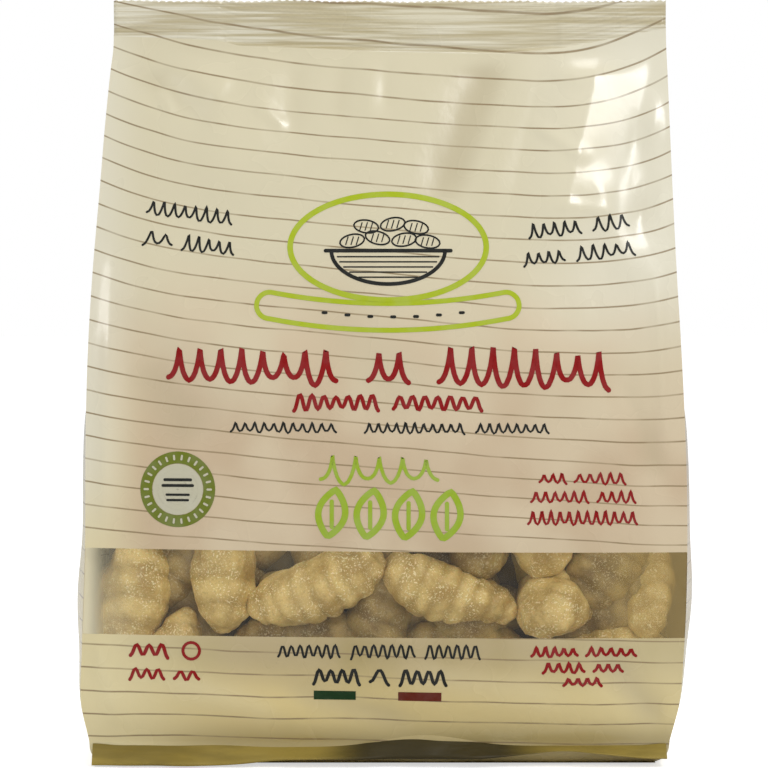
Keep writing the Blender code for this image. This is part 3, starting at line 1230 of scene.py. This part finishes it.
def capsule(start: tuple, end: tuple, half: float, sag: float, count: int = 24) -> np.ndarray:
    """The outline of a long bar with round ends, whose middle hangs down by a sag."""
    share = np.linspace(0, 1, count)
    x = start[0] + (end[0] - start[0]) * share
    z = start[1] + (end[1] - start[1]) * share - sag * 4 * share * (1 - share)
    turn = np.linspace(-math.pi / 2, math.pi / 2, 12)[1:-1]
    right = np.stack([x[-1] + half * np.cos(turn), z[-1] + half * np.sin(turn)], axis=1)
    left = np.stack([x[0] - half * np.cos(turn), z[0] - half * np.sin(turn)], axis=1)
    low = np.stack([x, z - half], axis=1)
    top = np.stack([x, z + half], axis=1)[::-1]
    return np.vstack([low, right, top, left])


def wave(start: tuple, end: tuple, height: float, pitch: float, seed: int, lean: float = 0.0) -> np.ndarray:
    """An uneven wave drawn by hand between two places.

    Args:
        start: where its middle line starts.
        end: where its middle line ends.
        height: how high the highest crests stand over the troughs.
        pitch: the length of one wave.
        seed: the seed of its unevenness.
        lean: how far a crest leans over, as a share of the pitch.

    Returns:
        The points of its line.
    """
    dice = random.Random(seed)
    length = math.hypot(end[0] - start[0], end[1] - start[1])
    turns = max(int(length / pitch), 1)
    crests = [dice.uniform(0.55, 1.0) for _ in range(turns + 1)]
    count = turns * 12 + 1
    phase = np.linspace(0, turns, count)
    tall = np.interp(phase, np.arange(turns + 1), crests)
    rise = -np.cos(phase * 2 * math.pi) * tall * height / 2
    share = phase / turns + lean * pitch / length * np.sin(phase * 2 * math.pi)
    way = np.array(end) - np.array(start)
    normal = np.array([-way[1], way[0]]) / length
    return np.array(start) + share[:, None] * way + rise[:, None] * normal


def waves(rows: tuple) -> list[Stroke]:
    """Waves drawn from a table.

    Args:
        rows: a row a wave: start x and z, end x and z, height and pitch in mm, seed, lean, line width in mm.

    Returns:
        The strokes.
    """
    return [
        Stroke(wave((x0 * MM, z0 * MM), (x1 * MM, z1 * MM), height * MM, pitch * MM, seed, lean), width * MM)
        for x0, z0, x1, z1, height, pitch, seed, lean, width in rows
    ]


@dataclass
class Print:
    """The plain shapes printed on the front: an oval badge, a band under it, waves, bars and a round seal."""

    form: BagForm
    lift: float = 0.07 * MM

    def lay(self, name: str, strokes: list[Stroke], ink: Inks, layer: int = 1) -> bpy.types.Object:
        """Lays strokes of one ink on the film, as one piece.

        Args:
            name: the piece's name.
            strokes: what is drawn.
            ink: its ink.
            layer: 1 for ink on the film, 2 for ink over other ink.

        Returns:
            The piece.
        """
        parts = [s.mesh(name, self.form, self.lift * layer) for s in strokes]
        piece = join(parts, name)
        finish_piece(piece, ink.value.material())
        return piece

    def badge(self) -> list[bpy.types.Object]:
        """The oval badge with a bowl of dumplings drawn in it, and the empty band under it."""
        middle = (1.1 * MM, 136.6 * MM)
        ring = [Stroke(oval(middle, 25.9 * MM, 14.0 * MM), 1.5 * MM, closed=True)]
        band_line = capsule((-30 * MM, 121.2 * MM), (32 * MM, 121.2 * MM), 3.5 * MM, 3.0 * MM)
        band = [Stroke(band_line, 1.3 * MM, closed=True)]
        rim_height = middle[1] - 1.0 * MM
        share = np.linspace(0, math.pi, 30)
        bowl = np.stack([middle[0] - 15 * MM * np.cos(share), rim_height - 8.8 * MM * np.sin(share)], axis=1)
        drawing = [
            Stroke(bowl, 1.0 * MM),
            Stroke(
                np.array([[middle[0] - 16.5 * MM, rim_height], [middle[0] + 16.5 * MM, rim_height]]),
                1.0 * MM,
            ),
        ]
        for step in range(5):
            drop = (1.6 + 1.35 * step) * MM
            reach = 15 * MM * math.sqrt(max(1 - (drop / (8.8 * MM)) ** 2, 0)) - 1.4 * MM
            ends = ((middle[0] - reach, rim_height - drop), (middle[0] + reach, rim_height - drop))
            drawing.append(Stroke(np.array(ends), 0.38 * MM))
        for across, rise, turn in ((-9.5, 2.6, 12), (-2.8, 3.4, -14), (4.2, 2.9, 10), (10.4, 2.4, -10),
                                   (-5.8, 6.4, -8), (1.2, 7.0, 12), (7.4, 6.2, -12)):
            spot = (middle[0] + across * MM, rim_height + rise * MM)
            drawing.append(Stroke(oval(spot, 3.3 * MM, 1.7 * MM, turn, 24), 0.45 * MM, closed=True))
            for mark in (-1.4, 0.0, 1.4):
                foot = (spot[0] + mark * MM - 0.3 * MM, spot[1] - 1.0 * MM)
                head = (spot[0] + mark * MM + 0.3 * MM, spot[1] + 1.0 * MM)
                drawing.append(Stroke(np.array((foot, head)), 0.30 * MM, step=0.5 * MM))
        dot_places = zip((-16, -10, -4, 2, 8, 14, 20), (119.3, 118.7, 118.3, 118.2, 118.3, 118.7, 119.3))
        dots = [
            Stroke(np.array([[x * MM, z * MM], [x * MM + 0.8 * MM, z * MM]]), 0.8 * MM)
            for x, z in dot_places
        ]
        return [
            self.lay("print_badge_ring", ring, Inks.LIME),
            self.lay("print_badge_band", band, Inks.LIME),
            self.lay("print_badge_drawing", drawing, Inks.DARK),
            self.lay("print_band_dots", dots, Inks.DARK),
        ]

    def titles(self) -> list[bpy.types.Object]:
        """The red, green and dark waves across the middle, in place of wording."""
        red = waves((
            (-56.5, 106.0, -12.5, 105.2, 11.0, 5.0, 3, 0.16, 1.35),
            (-4.0, 105.4, 6.5, 105.2, 11.5, 5.0, 4, 0.16, 1.35),
            (14.5, 105.8, 59.0, 104.4, 11.0, 5.2, 5, 0.16, 1.35),
            (-23.5, 95.9, -1.5, 95.9, 4.8, 3.1, 6, 0.0, 1.0),
            (2.5, 95.9, 25.5, 95.6, 4.8, 3.1, 7, 0.0, 1.0),
        ))
        green = waves(((-16.5, 78.8, 14.0, 78.6, 8.6, 5.4, 8, 0.18, 0.95),))
        for index in range(4):
            middle = ((-13.6 + index * 10.0) * MM, (67.2 - index * 0.2) * MM)
            green.append(Stroke(leaf(middle, 3.5 * MM, 6.2 * MM, -10), 1.7 * MM, closed=True))
            vein = [[middle[0], middle[1] - 3.6 * MM], [middle[0], middle[1] + 3.0 * MM]]
            green.append(Stroke(np.array(vein), 1.1 * MM))
        dark = waves((
            (-40.0, 89.6, -12.5, 89.4, 3.4, 2.3, 9, 0.1, 0.55),
            (-5.0, 89.4, 21.0, 89.3, 3.4, 2.3, 10, 0.1, 0.55),
            (24.0, 89.3, 43.0, 89.2, 3.2, 2.3, 11, 0.1, 0.55),
        ))
        return [
            self.lay("print_title_red", red, Inks.RED),
            self.lay("print_waves_green", green, Inks.LEAF),
            self.lay("print_waves_dark", dark, Inks.DARK),
        ]

    def corners(self) -> list[bpy.types.Object]:
        """The slanted dark waves at the upper left and right, and the red ones at the right."""
        dark = waves((
            (-62.8, 147.4, -40.2, 144.4, 4.8, 2.7, 21, 0.12, 0.6),
            (-63.6, 139.4, -56.0, 138.4, 4.6, 2.7, 22, 0.12, 0.6),
            (-53.2, 138.0, -39.6, 136.2, 4.6, 2.7, 23, 0.12, 0.6),
            (38.2, 140.8, 52.0, 142.2, 4.6, 2.7, 24, 0.12, 0.6),
            (55.2, 142.6, 64.8, 143.8, 4.6, 2.7, 25, 0.12, 0.6),
            (36.8, 133.4, 47.6, 134.4, 4.6, 2.7, 26, 0.12, 0.6),
            (50.8, 134.8, 66.2, 136.6, 4.6, 2.7, 27, 0.12, 0.6),
        ))
        red = waves((
            (40.6, 76.2, 47.6, 76.2, 3.6, 2.3, 31, 0.1, 0.65),
            (49.8, 76.2, 63.2, 76.0, 3.6, 2.3, 32, 0.1, 0.65),
            (38.4, 71.4, 53.4, 71.3, 3.4, 2.3, 33, 0.1, 0.65),
            (55.8, 71.3, 65.8, 71.2, 3.4, 2.3, 34, 0.1, 0.65),
            (37.6, 66.0, 66.2, 65.8, 4.2, 2.3, 35, 0.1, 0.65),
        ))
        return [self.lay("print_corner_waves", dark, Inks.DARK), self.lay("print_side_waves", red, Inks.RED)]

    def round_seal(self) -> list[bpy.types.Object]:
        """The round seal at the left: a broad olive ring with pale dots, and dark bars inside."""
        middle = (-53.9 * MM, 73.2 * MM)
        ring = [Stroke(oval(middle, 8.3 * MM, 8.3 * MM, count=72), 3.1 * MM, closed=True)]
        disc = [
            Stroke(oval(middle, r * MM, r * MM, count=40), 1.5 * MM, closed=True)
            for r in (0.7, 2.0, 3.3, 4.6, 5.9)
        ]
        dots = []
        for index in range(26):
            angle = 2 * math.pi * index / 26
            spot = np.array(middle) + 8.3 * MM * np.array([math.cos(angle), math.sin(angle)])
            out = 0.45 * MM * np.array([math.cos(angle), math.sin(angle)])
            dots.append(Stroke(np.array([spot - out, spot + out]), 0.55 * MM, step=0.4 * MM))
        bars = [
            Stroke(
                np.array([
                    [middle[0] - w * MM, middle[1] + z * MM],
                    [middle[0] + w * MM, middle[1] + z * MM],
                ]),
                t * MM,
            )
            for w, z, t in ((3.4, 2.5, 0.75), (3.9, 1.0, 0.75), (2.9, -1.4, 0.6), (2.7, -2.8, 0.6))
        ]
        return [
            self.lay("print_seal_disc", disc, Inks.PALE),
            self.lay("print_seal_ring", ring, Inks.OLIVE),
            self.lay("print_seal_dots", dots, Inks.PALE, 2),
            self.lay("print_seal_bars", bars, Inks.DARK, 2),
        ]

    def foot(self) -> list[bpy.types.Object]:
        """The red and dark waves below the window and the two short bars."""
        red = [
            *waves(((-66.4, 31.1, -56.6, 31.0, 4.2, 3.2, 41, 0.0, 0.95),)),
            Stroke(oval((-50.4 * MM, 31.0 * MM), 2.2 * MM, 2.2 * MM, count=28), 0.8 * MM, closed=True),
            *waves((
                (-66.6, 24.9, -57.6, 24.8, 3.9, 2.6, 42, 0.0, 0.85),
                (-54.8, 24.6, -48.4, 24.6, 3.0, 2.2, 43, 0.0, 0.85),
                (38.6, 30.9, 50.6, 30.7, 3.4, 2.4, 44, 0.1, 0.8),
                (53.0, 30.7, 66.0, 30.4, 3.4, 2.4, 45, 0.1, 0.8),
                (41.6, 26.7, 52.4, 26.5, 3.2, 2.4, 46, 0.1, 0.8),
                (55.0, 26.4, 62.6, 26.2, 2.8, 2.4, 47, 0.1, 0.8),
                (47.0, 22.9, 57.0, 22.8, 2.6, 2.3, 48, 0.1, 0.8),
            )),
        ]
        dark = waves((
            (-27.6, 31.0, -11.6, 31.0, 4.2, 2.2, 51, 0.0, 0.6),
            (-8.6, 31.0, 8.0, 31.0, 4.2, 2.2, 52, 0.0, 0.6),
            (10.8, 30.9, 25.0, 30.8, 4.2, 2.2, 53, 0.0, 0.6),
            (-18.4, 24.4, -6.4, 24.3, 4.6, 2.8, 54, 0.0, 0.85),
            (-3.6, 24.3, 1.2, 24.3, 4.6, 2.6, 55, 0.0, 0.85),
            (4.2, 24.2, 16.2, 24.1, 4.6, 2.8, 56, 0.0, 0.85),
        ))
        bar_height = 19.2 * MM
        bars = {
            Inks.GREEN: np.array([[-18.4 * MM, bar_height], [-7.4 * MM, bar_height - 0.1 * MM]]),
            Inks.BRICK: np.array([[3.7 * MM, bar_height - 0.2 * MM], [15.0 * MM, bar_height - 0.3 * MM]]),
        }
        laid = [self.lay("print_foot_red", red, Inks.RED), self.lay("print_foot_dark", dark, Inks.DARK)]
        for ink, line in bars.items():
            laid.append(self.lay(f"print_bar_{ink.label}", [Stroke(line, 2.4 * MM, square=True)], ink))
        return laid

    def build(self) -> list[bpy.types.Object]:
        """Lays all the print."""
        return self.badge() + self.titles() + self.corners() + self.round_seal() + self.foot()


# ---------------------------------------------------------------- the filling


@dataclass(frozen=True)
class Gnocco:
    """One ridged potato gnocco."""

    place: tuple              # its middle, in metres
    length: float = 36 * MM
    width: float = 17.5 * MM
    turn: float = 0.0         # degrees it is turned as seen from the front
    swing: float = 0.0        # degrees its right end swings back
    roll: float = 0.0         # degrees it is rolled about its own length
    taper: float = 0.0        # how much thinner its right end is
    ridges: int = 6
    ridge_depth: float = 0.7 * MM
    seed: int = 1

    def build(self, detail: tuple = (44, 64)) -> bpy.types.Object:
        """Models the gnocco from a sphere, with its ridges, lumps and place in its mesh.

        Args:
            detail: the sphere's segments and rings.

        Returns:
            The gnocco.
        """
        clear_selection()
        bpy.ops.mesh.primitive_uv_sphere_add(segments=detail[0], ring_count=detail[1], radius=1.0)
        piece = bpy.context.object
        dice = random.Random(self.seed)
        ball = points_of(piece)
        along, a, b = ball[:, 2], ball[:, 0], ball[:, 1]
        round_share = np.sqrt(np.maximum(a * a + b * b, 1e-12))
        blunt = np.sign(along) * np.abs(along) ** 1.12
        fat = np.maximum(1 - np.abs(blunt) ** 2.5, 0.0) ** 0.5
        angle = np.arctan2(b, a)
        ridge_side = 0.30 + 0.70 * ramp(np.cos(angle - math.pi), -0.5, 0.6)
        phase = dice.uniform(0, 3.1)
        slant = 0.45 * np.sin(angle * 1.0 + phase) + 0.2 * np.sin(angle * 3 + phase * 2)
        rib = np.abs(np.sin(blunt * math.pi / 2 * self.ridges + slant + phase))
        uneven = 0.75 + 0.25 * np.sin(blunt * 7 + phase * 3) + 0.2 * np.sin(angle * 5 + blunt * 9)
        ridge = self.ridge_depth * (rib**0.7 - 0.62) * uneven * ridge_side * np.clip(fat * 1.6, 0, 1)
        lumps = 0.0
        for _ in range(5):
            lean = np.array([dice.uniform(-1, 1) for _ in range(3)])
            tall = dice.uniform(0.3, 0.9) * MM
            often = dice.uniform(2.0, 4.5)
            lumps = lumps + tall * np.sin(ball @ lean * often + dice.uniform(0, 6))
        half = self.width / 2 * (1 - self.taper * (blunt + 0.2) * 0.5)
        flat = 1 - 0.10 * np.cos(2 * (angle - dice.uniform(0, 3)))
        radius = half * fat * flat + (ridge + lumps * 0.7) * np.clip(fat * 1.5, 0, 1)
        bend = dice.uniform(-1.4, 1.4) * MM * (blunt**2 - 0.3)
        shaped = np.stack([
            blunt * self.length / 2,
            radius * a / round_share,
            radius * b / round_share + bend,
        ], axis=1)
        turn = (
            Matrix.Rotation(-math.radians(self.turn), 4, "Y")
            @ Matrix.Rotation(math.radians(self.swing), 4, "Z")
            @ Matrix.Rotation(math.radians(self.roll), 4, "X")
        )
        spun = shaped @ np.array(turn.to_3x3()).T
        move_points(piece, spun + np.array(self.place))
        # how far each point lies in a groove; the dough's material darkens it as painted shade
        groove = (1 - rib**0.7) * ridge_side * np.clip(fat * 1.6, 0, 1)
        piece.data.attributes.new(GROOVE_MAP, "FLOAT", "POINT").data.foreach_set("value", groove)
        self.roughen(piece)
        return piece

    def roughen(self, piece: bpy.types.Object) -> None:
        """Gives the dough small uneven lumps."""
        texture = bpy.data.textures.new("dough_lumps", type="CLOUDS")
        texture.noise_scale = 0.0048
        modifier = piece.modifiers.new("lumps", "DISPLACE")
        modifier.texture = texture
        modifier.texture_coords = "LOCAL"
        modifier.strength = 0.0022
        modifier.mid_level = 0.5
        take(piece)
        bpy.ops.object.modifier_apply(modifier=modifier.name)


@dataclass
class Filling:
    """The gnocchi behind the window and the painted shade behind them."""

    form: BagForm
    skin_gap: float = 0.5 * MM
    side_gap: float = 1.6 * MM
    floor_gap: float = 3.0 * MM
    shade_depth: float = 2.5 * MM    # gnocchi that lie farther back than this get the darker dough, painted shade

    def keep_inside(self, gnocco: bpy.types.Object) -> None:
        """Moves a gnocco towards the middle until it is clear of the side films and the base."""
        places = points_of(gnocco)
        middle = self.form.middle(places[:, 2])
        wall = self.form.read(self.form.widths, places[:, 2]) - np.maximum(
            self.form.read(self.form.tucks, places[:, 2]), 0) - self.side_gap
        over_right = max(float(np.max(places[:, 0] - middle - wall)), 0.0)
        over_left = max(float(np.max(middle - places[:, 0] - wall)), 0.0)
        places[:, 0] += over_left - over_right
        places[:, 2] += max(self.floor_gap - float(np.min(places[:, 2])), 0.0)
        move_points(gnocco, places)

    def lay_against_film(self, gnocco: bpy.types.Object, set_back: float) -> None:
        """Moves a gnocco in depth until it all but touches the front film, and then back by a distance."""
        places = points_of(gnocco)
        room = places[:, 1] - self.form.front(places[:, 0], places[:, 2])
        places[:, 1] += self.skin_gap + set_back - float(np.min(room))
        move_points(gnocco, places)

    def shown(self) -> list[tuple[Gnocco, float]]:
        """The gnocchi that lie against the window, each with how far it lies back from it."""
        rows = (
            # x, z, length, width, turn, swing, roll, taper, ridges, depth, set back
            (-66.5, 46.0, 36, 19.0, 80, 8, 20, 0.10, 5, 1.0, 1.0),
            (-42.0, 53.0, 37, 17.0, 87, 0, 15, 0.10, 5, 1.0, 0.0),
            (-55.0, 26.0, 30, 14.5, 80, 0, 0, 0.30, 5, 0.8, 1.0),
            (-17.8, 47.6, 39, 17.0, 19, -4, 30, 0.15, 8, 0.9, 0.0),
            (17.6, 45.4, 39, 17.6, -21, 4, 10, 0.45, 8, 1.1, 0.0),
            (25.8, 66.2, 36, 16.5, 86, 0, 60, 0.10, 5, 0.8, 3.5),
            (42.4, 66.2, 36, 16.5, 92, 0, 0, 0.05, 5, 0.9, 2.0),
            (45.0, 42.4, 25, 19.0, 30, 62, 10, 0.10, 4, 0.8, 0.5),
            (59.0, 54.0, 30, 16.5, 60, 10, 0, 0.10, 5, 0.8, 3.0),
            (60.0, 28.6, 30, 14.5, 12, 0, 0, 0.20, 5, 0.8, 1.0),
            (70.5, 46.0, 30, 12.0, 84, 30, 0, 0.00, 5, 0.6, 2.0),
            (-21.0, 33.0, 38, 15.5, 4, 0, 0, 0.10, 7, 0.7, 6.5),
            (-2.0, 37.6, 36, 16.0, 74, 0, 0, 0.10, 6, 0.8, 5.5),
            (22.0, 29.5, 36, 15.0, -6, 0, 0, 0.10, 6, 0.7, 6.5),
            (-54.0, 55.5, 34, 16.5, 62, 10, 0, 0.10, 6, 1.0, 8.0),
            (66.5, 42.5, 32, 17.0, 24, 0, 0, 0.10, 6, 1.2, 6.5),
            (2.0, 61.2, 30, 12.0, 6, 0, 0, 0.10, 5, 0.8, 6.0),
        )
        found = []
        for index, (x, z, long, wide, turn, swing, roll, taper, ridges, depth, back) in enumerate(rows):
            place = (x * MM, -20 * MM, z * MM)
            sizes = (long * MM, wide * MM, turn, swing, roll, taper, ridges, depth * MM)
            one = Gnocco(place, *sizes, seed=11 + index)
            found.append((one, back * MM))
        return found

    def behind(self) -> list[Gnocco]:
        """The gnocchi that show only in the gaps, laid at random in rows."""
        dice = random.Random(5)
        found = []
        for layer, depth in enumerate((-12.5 * MM, 1.0 * MM)):
            for row, z in enumerate((24, 37, 50, 63)):
                for column in range(6):
                    x = (-62 + 25 * column + (12 if row % 2 else 0)) * MM
                    if abs(x) > 68 * MM:
                        continue
                    place = (
                        x + dice.uniform(-3, 3) * MM,
                        depth + dice.uniform(-2, 2) * MM,
                        z * MM + dice.uniform(-2, 2) * MM,
                    )
                    found.append(Gnocco(
                        place,
                        dice.uniform(32, 38) * MM,
                        dice.uniform(15.5, 18) * MM,
                        dice.uniform(-80, 80),
                        dice.uniform(-25, 25),
                        dice.uniform(0, 360),
                        dice.uniform(0, 0.3),
                        6,
                        0.6 * MM,
                        100 + layer * 50 + row * 10 + column,
                    ))
        return found

    def core(self) -> bpy.types.Object:
        """The dark mass behind, a rounded block inside the film, coloured as painted shade."""
        clear_selection()
        bpy.ops.mesh.primitive_cube_add(size=1, location=(0, 5 * MM, 42 * MM))
        block = bpy.context.object
        block.name = "filling_core"
        block.scale = (148 * MM, 40 * MM, 76 * MM)
        settle(block)
        bpy.ops.object.mode_set(mode="EDIT")
        bpy.ops.mesh.select_all(action="SELECT")
        bpy.ops.mesh.bevel(offset=10 * MM, segments=5, affect="EDGES")
        bpy.ops.mesh.subdivide(number_cuts=3)
        bpy.ops.object.mode_set(mode="OBJECT")
        texture = bpy.data.textures.new("heap", type="CLOUDS")
        texture.noise_scale = 0.014
        lumps = block.modifiers.new("heap", "DISPLACE")
        lumps.texture = texture
        lumps.texture_coords = "LOCAL"
        lumps.strength = 0.007
        lumps.mid_level = 0.5
        bpy.ops.object.modifier_apply(modifier=lumps.name)
        return block

    def build(self) -> list[bpy.types.Object]:
        """Builds and dresses the filling."""
        dough = Dough().material()
        # a darker copy of the dough, painted shade, for the gnocchi farther back and the ones behind
        painted_shade_dough = Dough(
            "painted_shade_dough",
            colour=(0.42, 0.29, 0.085),
            deep_colour=(0.17, 0.10, 0.018),
            flour_colour=(0.52, 0.42, 0.22),
        ).material()
        laid = []
        shaded = []
        for one, set_back in self.shown():
            gnocco = one.build()
            self.keep_inside(gnocco)
            self.lay_against_film(gnocco, set_back)
            (shaded if set_back > self.shade_depth else laid).append(gnocco)
        front = join(laid, "gnocchi_front")
        finish_piece(front, dough)
        heap = [one.build((24, 24)) for one in self.behind()]
        for gnocco in heap:
            self.keep_inside(gnocco)
        rear = join(shaded + heap, "gnocchi_behind")
        finish_piece(rear, painted_shade_dough)
        core = self.core()
        finish_piece(core, DeepFilling().material())
        return [front, rear, core]


# ---------------------------------------------------------------- the studio


@dataclass
class Studio:
    """A pale floor, soft lamps and the camera."""

    reach: float = 0.80
    shown_width: float = 208.9 * MM
    aim_height: float = 99.6 * MM
    lift_degrees: float = 2.0
    sensor: float = 36.0

    def floor(self) -> None:
        """Lays a plain pale floor."""
        clear_selection()
        bpy.ops.mesh.primitive_circle_add(
            vertices=96, radius=6.0, fill_type="NGON", location=(0, 0, -0.2 * MM))
        floor = bpy.context.object
        floor.name = "floor"
        book = NodeBook("pale_floor")
        book.shader.inputs["Base Color"].default_value = (0.93, 0.93, 0.93, 1.0)
        book.set(roughness=0.9, specular_ior_level=0.1)
        seen = book.math("MULTIPLY", book.add("ShaderNodeLightPath").outputs["Is Camera Ray"], 0.60)
        book.link(seen, book.shader.inputs["Emission Strength"])
        book.shader.inputs["Emission Color"].default_value = (1.0, 1.0, 1.0, 1.0)
        floor.data.materials.append(book.material)

    def lamp(self, name: str, place: tuple, size: float, power: float) -> None:
        """Adds a square white softbox that faces the bag's middle."""
        clear_selection()
        bpy.ops.object.light_add(type="AREA", location=place)
        lamp = bpy.context.object
        lamp.name = name
        lamp.data.shape = "SQUARE"
        lamp.data.size = size
        lamp.data.energy = power
        lamp.data.color = (1, 1, 1)
        aim = Vector((0, 0, 0.11)) - Vector(place)
        lamp.rotation_euler = aim.to_track_quat("-Z", "Y").to_euler()

    def world(self) -> None:
        """Fills the room with soft white light."""
        world = bpy.data.worlds.new("room")
        world.use_nodes = True
        tree = world.node_tree
        ground = tree.nodes["Background"]
        ground.inputs["Color"].default_value = (1, 1, 1, 1)
        ground.inputs["Strength"].default_value = 0.50
        seen = tree.nodes.new("ShaderNodeBackground")
        seen.inputs["Color"].default_value = (1, 1, 1, 1)
        seen.inputs["Strength"].default_value = 1.0
        path = tree.nodes.new("ShaderNodeLightPath")
        mix = tree.nodes.new("ShaderNodeMixShader")
        either = tree.nodes.new("ShaderNodeMath")
        either.operation = "MAXIMUM"
        half = tree.nodes.new("ShaderNodeMath")
        half.operation = "MULTIPLY"
        half.inputs[1].default_value = 0.5
        tree.links.new(path.outputs["Is Glossy Ray"], half.inputs[0])
        tree.links.new(half.outputs[0], either.inputs[0])
        tree.links.new(path.outputs["Is Camera Ray"], either.inputs[1])
        tree.links.new(either.outputs[0], mix.inputs[0])
        tree.links.new(ground.outputs[0], mix.inputs[1])
        tree.links.new(seen.outputs[0], mix.inputs[2])
        tree.links.new(mix.outputs[0], tree.nodes["World Output"].inputs["Surface"])
        bpy.context.scene.world = world

    def camera(self) -> None:
        """Places the camera in front of the bag."""
        lift = math.radians(self.lift_degrees)
        aim = Vector((0, 0, self.aim_height))
        place = aim + Vector((0, -math.cos(lift), math.sin(lift))) * self.reach
        clear_selection()
        bpy.ops.object.camera_add(location=place)
        camera = bpy.context.object
        camera.rotation_euler = (aim - place).to_track_quat("-Z", "Y").to_euler()
        camera.data.sensor_width = self.sensor
        camera.data.lens = self.sensor * self.reach / self.shown_width
        camera.data.clip_start = 0.01
        bpy.context.scene.camera = camera

    def build(self) -> None:
        """Sets up the whole studio."""
        self.floor()
        self.world()
        self.lamp("key_right", (0.55, -0.67, 0.91), 0.34, 3.6)
        self.lamp("fill_left", (-0.75, -0.70, 0.60), 0.20, 1.0)
        self.lamp("top", (0.0, 0.15, 1.20), 0.50, 3.0)
        self.camera()
        view = bpy.context.scene.view_settings
        view.view_transform = "Standard"
        view.look = "None"


def main() -> None:
    """Builds the bag from the inside out."""
    logging.basicConfig(level=logging.INFO, format="%(name)s %(message)s")
    form = BagForm()
    Studio().build()
    pieces = Filling(form).build()
    pieces += FilmPanels(form).build()
    pieces += TopSeal(form).build()
    pieces += BottomFin(form).build()
    pieces += Print(form).build()
    for piece in pieces:
        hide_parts("bag")
    clear_selection()


if __name__ == "__main__":
    main()
